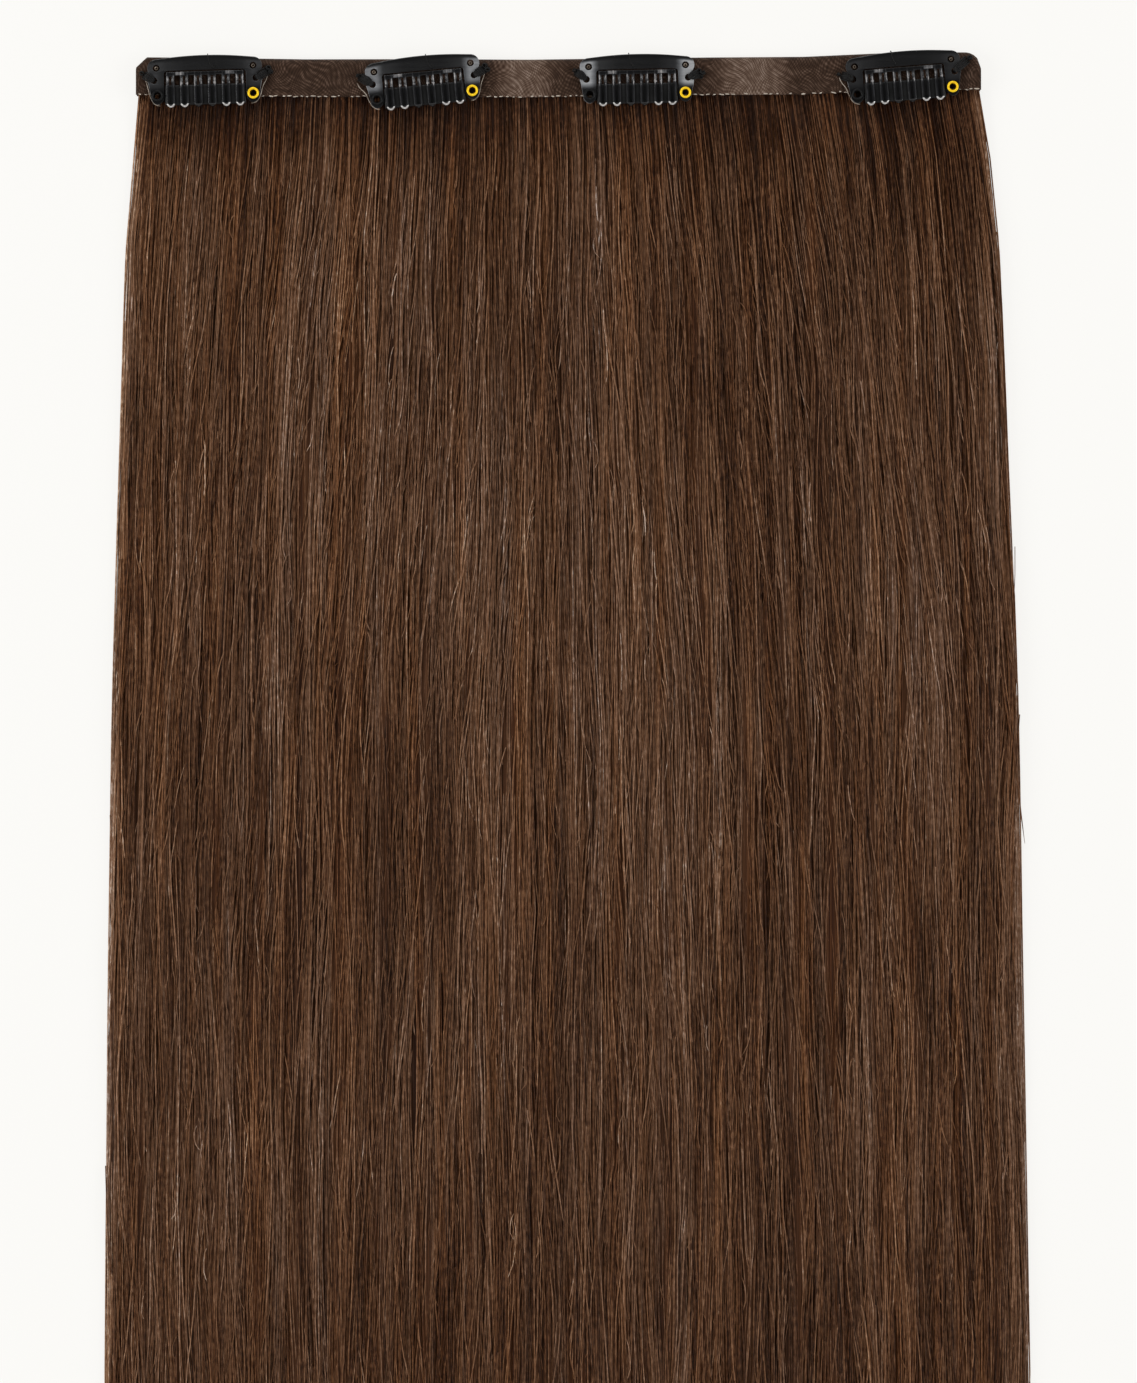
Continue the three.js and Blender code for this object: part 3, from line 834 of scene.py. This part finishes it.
# The clips are snap clips. Each is laid out here in millimetres in its own frame, with its origin on the
# line that the comb swings about, and then set on the band where that clip's joint is.
clip_seat = band_thickness / mm + 0.2
clip_half = 16
sheet = 0.55
plate_top = 5
plate_arch = 0.8
plate_crown = 0.6
plate_lean = 0.8
plate_low = 1.15
window_half = 11.45
window_top = 0.8
window_corner = 0.95
arch_steps = 24
plate_bevel = 0.15
shoulder = {"x": 13.5, "y": 1.7, "lobe": 2.5, "hole": 1.0}
flank = {"x": 14.2, "y": -1.8, "lobe": 1.8, "hole": 0.95}
foot = {"x": 13.35, "y": -6.05, "lobe": 1.9, "hole": 1.15}
foot_stretch = 1.3
# How much each clip's wings are greyed, by paint wear and painted sheen.
clip_wear_and_sheen = {1: 0.22, 2: 0.74, 3: 0.96, 4: 0.03}
combs = {joint["child"]: joint for joint in frame["joints"]}
clip_numbers = [int(name.split("_")[1]) for name in sorted(combs)]


def clip_place(number):
    """From a clip's own millimetres to the weft's frame in metres."""
    joint = combs[f"comb_{number}"]
    x, y = joint["pos_m"][:2]
    turn = math.atan2(-joint["axis"][1], -joint["axis"][0])
    return (Matrix.Translation((x, y, clip_seat * mm)) @ Matrix.Rotation(turn, 4, "Z")
            @ Matrix.Scale(mm, 4))


def in_clip(name, mesh, number, finish, replaced=None, body="weft"):
    """Sets a piece of a clip in its place on the band, with its finish and that clip's paint wear and
    painted sheen on it.
    """
    mesh = mesh.copy()
    mesh.transform(clip_place(number))
    wear_and_sheen = mesh.attributes.new("wear_and_sheen", "FLOAT", "POINT")
    wear_and_sheen.data.foreach_set("value", [clip_wear_and_sheen[number]] * len(mesh.vertices))
    piece = placed(f"{name}_{number}", mesh)
    piece.data.materials.append(finish)
    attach(piece, body)
    if replaced:
        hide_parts(f"{replaced}_{number}")


def arc(centre, radius, start, end, steps, stretch=1.0):
    turns = [math.radians(start + (end - start) * i / steps) for i in range(steps + 1)]
    return [(centre[0] + radius * math.cos(t), centre[1] + radius * stretch * math.sin(t)) for t in turns]


def mirrored(points):
    return [(-x, y) for x, y in reversed(points)]


def plate_height(x, y):
    """The plate is crowned along its top bar, and the bar leans back to the band."""
    over_bar = min(max((y - window_top) / (plate_top - window_top), 0), 1)
    crown = plate_crown * max(0, 1 - (x / window_half) ** 2)
    return crown * eased(y, -window_top, window_top) - plate_lean * over_bar


# Where the sheets are cut across, so that they bend smoothly over the crown and the lean of the top bar.
sheet_cuts = [[1.5 * i for i in range(-9, 10)], [0.0, 0.4, 1.2, 2.0, 2.8, 3.6, 4.2]]


def cut_across(mesh, cuts):
    """The mesh cut by upright planes, so that its large flat faces can bend."""
    work = bmesh.new()
    work.from_mesh(mesh)
    for axis, places in zip(((1, 0, 0), (0, 1, 0)), cuts):
        for place in places:
            parts = work.verts[:] + work.edges[:] + work.faces[:]
            on_plane = [place * a for a in axis]
            bmesh.ops.bisect_plane(work, geom=parts, dist=0.001, plane_co=on_plane, plane_no=axis)
    work.to_mesh(mesh)
    work.free()
    return mesh


def pressed(outline, holes, thickness, bevel, heights):
    """A flat outline cut from sheet, with rounded rims, pressed to the heights that a function gives."""
    drawing = bpy.data.curves.new("drawing", "CURVE")
    drawing.dimensions = "2D"
    drawing.fill_mode = "BOTH"
    drawing.extrude = thickness / 2 - bevel
    drawing.bevel_depth = bevel
    drawing.bevel_resolution = 2
    drawing.offset = -bevel
    for points in (outline, *holes):
        line = drawing.splines.new("POLY")
        line.points.add(len(points) - 1)
        line.use_cyclic_u = True
        for point, (x, y) in zip(line.points, points):
            point.co = (x, y, 0, 1)
    pattern = bpy.data.objects.new("pattern", drawing)
    bpy.context.scene.collection.objects.link(pattern)
    mesh = bpy.data.meshes.new_from_object(pattern.evaluated_get(bpy.context.evaluated_depsgraph_get()))
    bpy.data.objects.remove(pattern)
    mesh = cut_across(outward(mesh, merge=0.004), sheet_cuts)
    rim = mesh.attributes.new("rim", "FLOAT", "FACE")
    rim.data.foreach_set("value", [1 - abs(face.normal.z) for face in mesh.polygons])
    flat_map = mesh.uv_layers.new(name="flat")
    for loop in mesh.loops:
        flat_map.data[loop.index].uv = mesh.vertices[loop.vertex_index].co.xy
    for vertex in mesh.vertices:
        vertex.co.z += thickness / 2 + heights(vertex.co.x, vertex.co.y)
    mesh.set_sharp_from_angle(angle=math.radians(14))
    return mesh


# The plate is stamped from thin spring steel and painted satin black. Two wings come down from an arched
# top bar, each with three holes: for thread at the shoulder and the flank, and for an eyelet at the foot.
def plate_mesh():
    def lobe(part, start, end, steps, stretch=1.0):
        return arc((part["x"], part["y"]), part["lobe"], start, end, steps, stretch)

    right = lobe(foot, 180, 330, 18, foot_stretch) + lobe(flank, -25, 70, 12) + lobe(shoulder, -55, 90, 18)
    arch = [(x, plate_top - plate_arch * (x / shoulder["x"]) ** 2)
            for x in (shoulder["x"] * (1 - 2 * i / arch_steps) for i in range(1, arch_steps))]
    corner = (window_half - window_corner, window_top - window_corner)
    top_edge = [(corner[0] * (2 * i / arch_steps - 1), window_top) for i in range(1, arch_steps)]
    right_corner = arc(corner, window_corner, 90, 0, 8)
    outline = right + arch + mirrored(right) + mirrored(right_corner) + top_edge + right_corner
    holes = [arc((side * part["x"], part["y"]), part["hole"], 360, 15, 23)
             for side in (-1, 1) for part in (shoulder, flank, foot)]
    return pressed(outline, holes, sheet, plate_bevel, lambda x, y: plate_low + plate_height(x, y))


def flat_place(tree):
    """How far out and how far up a point of a clip's sheet lies in the flat outline, in millimetres."""
    flat_map = add_node(tree, "ShaderNodeUVMap", uv_map="flat").outputs["UV"]
    place = add_node(tree, "ShaderNodeSeparateXYZ", {"Vector": flat_map})
    return Amount(tree, place.outputs["X"]), Amount(tree, place.outputs["Y"])


def black_paint_finish():
    """Satin black paint. It is dark and even on the bar. On the wings it is a dull grey, partly rubbed paint
    and partly painted sheen, and its rims carry painted highlights where the paint is also rubbed.
    """
    finish, tree = started_finish("black_paint")
    spot = spot_on(tree)
    streak = noise_over(tree, spot, (90, 1300, 400), 3.0)
    cloud = noise_over(tree, spot, 210.0, 3.0)
    grain = noise_over(tree, spot, 5200.0, 2.0)
    x, y = flat_place(tree)
    from_top = x * x * (-plate_arch / shoulder["x"] ** 2) + plate_top - y
    out = x.worked("ABSOLUTE")
    # The wings' dull grey is partly rubbed paint and partly painted sheen, fading out on the feet.
    wing = out.eased(4.5, window_half) * 0.3 + out.eased(window_half - 1.5, shoulder["x"]) * 0.7
    wing = wing * (1 - (y * -1).eased(2.8, 5.2) * 0.85)
    dull_and_sheen = wing * from_top.eased(0.2, 1.5) * (cloud * 0.5 + 0.75) * (streak * 0.3 + 0.85)
    # Painted highlight on the rims, where the paint is also rubbed.
    rim = stored_value(tree, "rim").eased(0.02, 0.6)
    rubbed_and_lit = rim * from_top.eased(0.3, 0.8) * (cloud * 0.8 - 0.1)
    # Painted highlight along the wings' lower outer rims.
    edge = rim * out.eased(window_half + 0.8, window_half + 1.8) * (y * -1).eased(1.0, 3.0)
    edge = edge * cloud.eased(0.3, 0.6)
    shade = dull_and_sheen * (0.2 + 0.8 * stored_value(tree, "wear_and_sheen")) + rubbed_and_lit * 0.8 + edge * 0.75
    colour = ramp(tree, shade, [
        (0.0, (0.0025, 0.0025, 0.0028)), (0.35, (0.014, 0.0142, 0.015)), (0.6, (0.065, 0.067, 0.071)),
        (0.8, (0.15, 0.154, 0.162)), (1.0, (0.30, 0.305, 0.31))])
    gloss = 1 - from_top.eased(0.3, 1.6)
    return finished(finish, {
        "Base Color": colour, "Roughness": streak * 0.14 + dull_and_sheen * 0.2 + 0.2 - gloss * 0.14,
        "Normal": bumps(tree, grain, 0.12, 0.02 * mm), "Specular IOR Level": 0.3})


black_paint = black_paint_finish()
plate = plate_mesh()
for number in clip_numbers:
    in_clip("plate", plate, number, black_paint, "clip_plate")
    bar_materials = frame["nodes"][f"grip_bar_{number}"].data.materials
    bar_materials.clear()
    bar_materials.append(black_paint)

# The comb is six hairpin teeth on a spine. They climb over the rubber and curl down past its lower edge,
# where use has rubbed the paint off their tips down to bright steel.
tooth_count = 6
tooth_pitch = 3.87
tooth_half = 1.175
tooth_wire = 0.6
tooth_reach = 9.4
tooth_rise = 0.55
tooth_curl = 0.7
comb_sheet = 0.5
comb_bevel = 0.2
spine_edge = 0.5
climb_end = -2.95
curl_start = -8.525
leg_steps = 14
tip_inner = 0.68
# Where the tips are bare, and where painted highlights and grey paint with painted reflection lie on the
# comb, in millimetres.
dark_teeth = tooth_pitch
spine_highlight = 1.8 * tooth_pitch
worn_and_lit_end = -3.2
glint_at = -2.8


def tooth_height(y):
    climb = 1 - eased(y, climb_end, -spine_edge)
    curl = 1 - eased(y, -tooth_reach, curl_start)
    return tooth_rise * climb - tooth_curl * curl


def comb_mesh():
    def leg(x, low):
        return [(x, -spine_edge + (low + spine_edge) * i / leg_steps) for i in range(leg_steps)]

    spine_half = tooth_pitch * (tooth_count - 1) / 2 + tooth_half
    low = -tooth_reach + tooth_half
    outline = [(-spine_half, spine_edge)]
    holes = []
    for tooth in range(tooth_count):
        middle = (tooth - (tooth_count - 1) / 2) * tooth_pitch
        inner = tooth_half - tooth_wire
        outline += leg(middle - tooth_half, low) + arc((middle, low), tooth_half, 180, 360, 14)
        outline += leg(middle + tooth_half, low)[::-1]
        holes.append(leg(middle + inner, low) + arc((middle, low), inner, 0, -180, 12)
                     + leg(middle - inner, low)[::-1])
    outline.append((spine_half, spine_edge))
    return pressed(outline, holes, comb_sheet, comb_bevel, lambda x, y: plate_low + tooth_height(y))


def tooth_finish():
    """The same black paint, rubbed grey with painted reflection where the teeth climb, with painted
    highlights along the legs, across them at a glint line and in patches near the ends of the spine, and
    rubbed down to bright steel at the tips, least of all on the two teeth in the middle.
    """
    finish, tree = started_finish("comb_paint")
    spot = spot_on(tree)
    cloud = noise_over(tree, spot, 900.0, 3.0)
    x, y = flat_place(tree)
    out = x.worked("ABSOLUTE")
    beside = out.worked("MODULO", tooth_pitch) - tooth_pitch / 2
    below = y + (tooth_reach - tooth_half)
    round_tip = (beside * beside + below * below).worked("SQRT").eased(tip_inner, tip_inner + 0.12)
    tip = round_tip * (1 - below.eased(-0.4, -0.1))
    tip = tip * (out.eased(dark_teeth - 0.1, dark_teeth + 0.1) * 0.8 + 0.2)
    bare = (tip + (cloud - 0.5) * 0.3).eased(0.2, 0.8)
    # Painted highlight: pale patches on the spine, near its ends.
    strip = (1 - (out - spine_highlight).worked("ABSOLUTE").eased(1.0, 1.6)) * y.eased(-0.6, -0.3)
    strip = strip * (cloud * 0.9 + 0.3)
    # Painted highlight: a glint line across the teeth where they climb.
    glint = (1 - (y - glint_at).worked("ABSOLUTE").eased(0.1, 0.5)) * cloud.eased(0.45, 0.6)
    # Painted highlight along the middle of each leg, all the way down.
    from_crest = (beside.worked("ABSOLUTE") - tooth_half + tooth_wire / 2).worked("ABSOLUTE")
    on_crest = 1 - from_crest.eased(0.04, 0.24)
    # Paint rubbed grey where the teeth climb, with painted reflection, uneven from tooth to tooth.
    worn_and_lit = y.eased(worn_and_lit_end - 1, worn_and_lit_end) * (1 - y.eased(-0.9, -0.3)) * (cloud * 1.1 + 0.1)
    uneven = noise_over(tree, spot, 300.0, 1.0).eased(0.36, 0.62)
    worn_and_lit = worn_and_lit * (on_crest * 0.75 + 0.4) * (uneven * 0.75 + 0.55) + on_crest * (uneven * 0.36 + 0.14)
    paint = ramp(tree, worn_and_lit * 0.68 + strip + glint * 0.6, [
        (0.0, (0.005, 0.005, 0.0055)), (0.45, (0.026, 0.026, 0.028)), (0.75, (0.11, 0.109, 0.111)),
        (1.0, (0.30, 0.285, 0.28))])
    steel = (0.78, 0.765, 0.75, 1)
    colour = output_of(tree, "ShaderNodeMix", {"Factor": bare, "A": paint, "B": steel}, data_type="RGBA")
    return finished(finish, {
        "Base Color": colour, "Metallic": bare * 0.5, "Roughness": cloud * 0.15 + 0.15,
        "Specular IOR Level": 0.6})


comb = comb_mesh()
comb_paint = tooth_finish()
for number in clip_numbers:
    in_clip("comb", comb, number, comb_paint, "clip_comb", f"comb_{number}")

# A sleeve of soft black rubber is pulled over the bar under the teeth, so that hair doesn't slip. The
# teeth have pressed shallow dents into it.
rubber_middle = -5.95
rubber_half = 2.8
rubber_high = 1.5
rubber_length = 22.5
rubber_round = 0.42
rubber_edge = 0.6
slot_low = 0.4
slot_high = 1.1
rubber_steps = 75
dent_depth = 0.12


def rubber_mesh():
    outer = []
    for centre, start in (((rubber_half - rubber_round, rubber_high - rubber_round), 0),
                          ((-rubber_half + rubber_round, rubber_high - rubber_round), 90),
                          ((-rubber_half + rubber_round, rubber_round), 180),
                          ((rubber_half - rubber_round, rubber_round), 270)):
        outer += arc(centre, rubber_round, start, start + 90, 5)
    slot = rubber_half - rubber_edge
    inner = []
    for y, z in outer:
        inner.append((max(-slot, min(slot, y * 1.2)), slot_high if z > rubber_high / 2 else slot_low))
    rings = []
    for step in range(rubber_steps + 1):
        x = rubber_length * (step / rubber_steps - 0.5)
        near = ((x / tooth_pitch + 0.5) % 1 - 0.5) * tooth_pitch
        pressed_in = sum(math.exp(-((near - leg) / 0.42) ** 2) for leg in (-0.875, 0.875))
        end = 1 - 0.25 * eased(abs(x), rubber_length / 2 - 0.5, rubber_length / 2) ** 2
        ring = []
        for y, z in outer:
            dent = dent_depth * pressed_in * eased(z, rubber_high * 0.6, rubber_high)
            ring.append((x, rubber_middle + y * (0.98 + 0.02 * end), (z - 0.75) * end + 0.75 - dent))
        rings.append((ring, [(x, rubber_middle + y, z) for y, z in inner]))
    skins = [ring for ring, _ in rings] + [ring for _, ring in reversed(rings)]
    return lofted(skins + skins[:1], is_closed_at_ends=False)


def rubber_finish():
    """Black rubber with a dull gloss, dusty in its pores."""
    finish, tree = started_finish("rubber")
    spot = spot_on(tree)
    pore = noise_over(tree, spot, 2400.0, 3.0)
    smear = noise_over(tree, spot, 260.0, 2.0)
    colour = ramp(tree, pore * 0.5 + smear * 0.5, [
        (0.3, (0.004, 0.004, 0.004)), (0.6, (0.010, 0.010, 0.010)), (0.8, (0.026, 0.025, 0.024))])
    return finished(finish, {
        "Base Color": colour, "Roughness": smear * 0.3 + 0.28, "Normal": bumps(tree, pore, 0.3, 0.03 * mm),
        "Specular IOR Level": 0.25})


rubber = outward(rubber_mesh(), merge=0.004)
rubber_skin = rubber_finish()
for number in clip_numbers:
    in_clip("rubber", rubber, number, rubber_skin, "grip_rubber")

# Two rolled eyelets rivet each plate to its bar at the feet: black at the left and brass, plated bright
# gold, at the right. The roll stands round the hole, and a flange closes it under the bar. Sizes are in
# millimetres.
eyelet_bore = 0.75
eyelet_head = 1.6
eyelet_low = 0.1
eyelet_neck = 0.95
eyelet_flange = 1.4
eyelet_seat = 1.93
eyelet_mouth = 1.04
eyelet_roll = 0.22
eyelet_sides = 40


def eyelet_mesh():
    """A profile of radius and height, turned round the hole."""
    middle = (eyelet_mouth + eyelet_head) / 2
    spread = (eyelet_head - eyelet_mouth) / 2
    roll = [(middle + spread * math.cos(t), eyelet_seat + eyelet_roll * math.sin(t))
            for t in (math.radians(15 * i) for i in range(13))]
    profile = roll + [
        (eyelet_bore, eyelet_low + 0.8), (eyelet_bore, eyelet_low), (eyelet_flange, eyelet_low),
        (eyelet_flange, eyelet_low + 0.25), (eyelet_neck, eyelet_low + 0.3), (eyelet_neck, eyelet_seat)]
    rings = []
    for side in range(eyelet_sides + 1):
        turn = 2 * math.pi * side / eyelet_sides
        rings.append([(radius * math.cos(turn), radius * math.sin(turn), height)
                      for radius, height in profile])
    mesh = lofted(rings, is_closed_at_ends=False)
    mesh = outward(mesh, merge=0.004)
    mesh.set_sharp_from_angle(angle=math.radians(50))
    return mesh


def plated_finish(name, colour, dark, metallic, gloss):
    """A rolled metal ring. The plating is even on the roll apart from tarnish; down in the hole it is
    painted shade.
    """
    finish, tree = started_finish(name)
    spot = spot_on(tree)
    tarnish = noise_over(tree, spot, 1400.0, 3.0)
    height = Amount(tree, add_node(tree, "ShaderNodeSeparateXYZ", {"Vector": spot}).outputs["Z"]) / mm
    # Painted shade: the colour darkens down into the hole.
    up = (height - clip_seat).eased(eyelet_seat - 0.45, eyelet_seat - 0.02)
    tone = ramp(tree, up * (tarnish.eased(0.2, 0.55) * 0.4 + 0.6), [
        (0.0, [part * 0.06 for part in dark]), (0.6, dark), (1.0, colour)])
    return finished(finish, {
        "Base Color": tone, "Roughness": tarnish * 0.2 + 0.3, "Metallic": metallic,
        "Specular IOR Level": gloss})


eyelet = eyelet_mesh()
gold = plated_finish("gold", (1.0, 0.66, 0.014), (0.9, 0.5, 0.01), 0.3, 0.3)
black_plate = plated_finish("black_plate", (0.006, 0.006, 0.0063), (0.003, 0.003, 0.003), 0.0, 0.15)
for side, name, finish, slot in ((-1, "black_eyelet", black_plate, "black_metal"),
                                 (1, "gold_eyelet", gold, "gold_metal")):
    shape = eyelet.copy()
    shape.transform(Matrix.Translation((side * foot["x"], foot["y"], 0)))
    for number in clip_numbers:
        in_clip(name.replace("eyelet", "ring"), shape, number, finish, name)

# Several turns of black thread tie each clip to the band. They come up through the flank holes, lie side by
# side over the wings' edges and end in small knots on the lace. One more thread loops over the top bar.
thread_girth = 0.36
bar_thread_girth = 0.27
tie_seed = 40
tie_threads = 7
tie_spread = 0.42
knot_turns = 3

# The ties of each clip: how far they reach past the wing, how steeply they rise, and the size and number
# of the lobes of their knot, in millimetres and degrees.
ties = [
    {"clip": 1, "side": -1, "reach": 1.3, "slope": 34, "lobes": 1, "lobe": 0.7},
    {"clip": 1, "side": 1, "reach": 1.8, "slope": 30, "lobes": 2, "lobe": 0.85},
    {"clip": 2, "side": -1, "reach": 2.3, "slope": 38, "lobes": 1, "lobe": 0.65},
    {"clip": 2, "side": 1, "reach": 1.5, "slope": 28, "lobes": 2, "lobe": 0.85},
    {"clip": 3, "side": -1, "reach": 1.4, "slope": 40, "lobes": 1, "lobe": 0.65},
    {"clip": 3, "side": 1, "reach": 1.7, "slope": 18, "lobes": 3, "lobe": 0.85},
    {"clip": 4, "side": -1, "reach": 1.6, "slope": 26, "lobes": 1, "lobe": 0.75},
    {"clip": 4, "side": 1, "reach": 2.7, "slope": 38, "lobes": 1, "lobe": 0.75},
]
bar_loops = [
    {"clip": 1, "along": 1.0, "hook": 1.9},
    {"clip": 2, "along": 1.3, "hook": 1.7},
    {"clip": 3, "along": -2.2, "hook": 1.0},
    {"clip": 4, "along": -3.0, "hook": 0.8},
]


def thread_mesh(paths, girth):
    """Round threads along smooth paths, as one mesh."""
    run = bpy.data.curves.new("run", "CURVE")
    run.dimensions = "3D"
    run.bevel_depth = girth / 2
    run.bevel_resolution = 1
    run.resolution_u = 4
    run.use_fill_caps = True
    for path in paths:
        line = run.splines.new("NURBS")
        line.points.add(len(path) - 1)
        line.order_u = 3
        line.use_endpoint_u = True
        for point, place in zip(line.points, path):
            point.co = (*place, 1)
    spool = bpy.data.objects.new("spool", run)
    bpy.context.scene.collection.objects.link(spool)
    mesh = bpy.data.meshes.new_from_object(spool.evaluated_get(bpy.context.evaluated_depsgraph_get()))
    bpy.data.objects.remove(spool)
    return outward(mesh, merge=0.001)


def knot_paths(centre, size, luck):
    """A few turns of thread wound on each other into a small knot."""
    paths = []
    for _ in range(knot_turns):
        tilt = Matrix.Rotation(luck.uniform(-0.7, 0.7), 3, "X")
        tilt = tilt @ Matrix.Rotation(luck.uniform(-0.7, 0.7), 3, "Y")
        radius = size * luck.uniform(0.55, 0.95)
        begin = luck.uniform(0, 6.28)
        loop = []
        for i in range(10):
            turn = begin + i * 0.78
            ring = tilt @ Vector((radius * math.cos(turn), radius * 0.8 * math.sin(turn), 0.05 * i - 0.2))
            loop.append(centre + ring + Vector((0, 0, 0.45)))
        paths.append(loop)
    return paths


def tie_paths(tie, luck):
    """Threads side by side from under a flank hole, over the wing's edge and down to the lace."""
    slope = math.radians(tie["slope"])
    out = Vector((tie["side"] * math.cos(slope), math.sin(slope), 0))
    aside = Vector((-out.y, out.x, 0))
    hole = Vector((tie["side"] * flank["x"], flank["y"], 0))
    top = plate_low + sheet
    paths = []
    for i in range(tie_threads):
        shift = aside * ((i / (tie_threads - 1) - 0.5) * 2 * tie_spread * (1 + 0.3 * luck.random()))
        wide = shift * 2.2
        edge = (clip_half - flank["x"]) / math.cos(slope)
        reach = edge + tie["reach"] * luck.uniform(0.85, 1.1)
        lift = thread_girth * luck.uniform(0.4, 0.9)
        paths.append([
            hole + shift * 0.6 + Vector((0, 0, 0.1)),
            hole + shift * 0.7 + Vector((0, 0, top - 0.4)),
            hole + shift + out * 0.3 + Vector((0, 0, top + lift)),
            hole + wide + out * (edge * 0.6) + Vector((0, 0, top + lift)),
            hole + wide + out * (edge + 0.25) + Vector((0, 0, top + lift * 0.6)),
            hole + wide + out * (reach - 0.25) + Vector((0, 0, top * 0.45)),
            hole + wide * 0.9 + out * reach + Vector((0, 0, -0.1)),
        ])
    heart = hole + out * reach
    for lobe in range(tie["lobes"]):
        turn = slope + (lobe - (tie["lobes"] - 1) / 2) * 1.6
        centre = heart + Vector((tie["side"] * math.cos(turn), math.sin(turn), 0)) * tie["lobe"]
        paths += knot_paths(centre, tie["lobe"], luck)
    return paths


def bar_loop_path(loop):
    """A single thread from behind the top bar, over it into the window, with a small hook at its end."""
    x, hook = loop["along"], loop["hook"]
    over = plate_low + sheet + thread_girth * 0.4

    def on_bar(along, y):
        return Vector((along, y, over + plate_height(along, y)))

    return [
        Vector((x - 0.1, plate_top + 0.35, -0.1)), Vector((x - 0.05, plate_top + 0.35, over - 0.6)),
        on_bar(x, plate_top - 0.2), on_bar(x + 0.15, 3.6), on_bar(x + 0.5, 2.3), on_bar(x + 1.1, 1.25),
        on_bar(x + hook, 1.3), on_bar(x + hook + 0.15, 1.9), on_bar(x + hook - 0.35, 2.1),
    ]


def black_thread_finish():
    """Waxed black thread, twisted, with a low gloss."""
    finish, tree = started_finish("black_thread")
    twist = noise_over(tree, spot_on(tree), 3200.0, 2.0)
    colour = ramp(tree, twist, [(0.35, (0.002, 0.002, 0.002)), (0.7, (0.011, 0.0105, 0.010))])
    return finished(finish, {
        "Base Color": colour, "Normal": bumps(tree, twist, 0.6, 0.05 * mm), "Roughness": 0.6,
        "Specular IOR Level": 0.2})


black_thread = black_thread_finish()
for number in clip_numbers:
    luck = random.Random(tie_seed + number)
    paths = [path for tie in ties if tie["clip"] == number for path in tie_paths(tie, luck)]
    in_clip("thread", thread_mesh(paths, thread_girth), number, black_thread)
    loops = [bar_loop_path(loop) for loop in bar_loops if loop["clip"] == number]
    in_clip("bar_thread", thread_mesh(loops, bar_thread_girth), number, black_thread)

# Where the band was sewn, a pale thread end runs from some of the ties down round the foot beside it.
thread_ends = [
    {"clip": 1, "side": -1, "start": 0.7, "sag": 0.2},
    {"clip": 1, "side": 1, "start": 1.5, "sag": 0.3},
    {"clip": 2, "side": -1, "start": 2.4, "sag": 0.5},
    {"clip": 2, "side": 1, "start": 1.3, "sag": 0.3},
    {"clip": 4, "side": -1, "start": 1.9, "sag": 0.5},
]


def thread_end_path(end):
    """From beside the tie, down past the foot and round under it, in millimetres from the hinge line."""
    out = clip_half + end["start"]
    below = foot["y"] - foot["lobe"] * foot_stretch
    points = [(out, flank["y"] + 0.9, 0.5), (out - 0.3, flank["y"] - 0.4, 0.6),
              (foot["x"] + foot["lobe"] + end["sag"] + 0.5, (flank["y"] + foot["y"]) / 2, 0.9),
              (foot["x"] + foot["lobe"] + end["sag"] * 0.5, foot["y"] - 0.6, 1.0),
              (foot["x"] + 0.9, below - 0.1, 0.7), (foot["x"] - 0.6, below - 0.2, 0.4)]
    return [Vector((end["side"] * x, y, z)) for x, y, z in points]


end_girth = 0.24
dull_thread = sewing_thread_finish("dull_thread", 0.45)
for number in sorted({end["clip"] for end in thread_ends}):
    paths = [thread_end_path(end) for end in thread_ends if end["clip"] == number]
    in_clip("thread_end", thread_mesh(paths, end_girth), number, dull_thread)

# Tan thread closes the shoulder holes: a small ring of it shows in each, with a dark middle. The two turns
# of each ring lean opposite ways.
hole_ring = 0.42
hole_thread_girth = 0.3


def hole_stitch_mesh():
    rings = []
    for side in (-1, 1):
        centre = Vector((side * shoulder["x"], shoulder["y"], 0.55))
        for level, tilt in ((0, 0.12), (0.25, -0.12)):
            turns = [0.7 * i for i in range(10)]
            rings.append([
                centre + Vector((
                    hole_ring * math.cos(t), hole_ring * math.sin(t), level + tilt * math.cos(t)))
                for t in turns])
    return thread_mesh(rings, hole_thread_girth)


hole_stitch = hole_stitch_mesh()
tan_thread = sewing_thread_finish("tan_thread", 0.3)
for number in clip_numbers:
    in_clip("hole_stitch", hole_stitch, number, tan_thread)
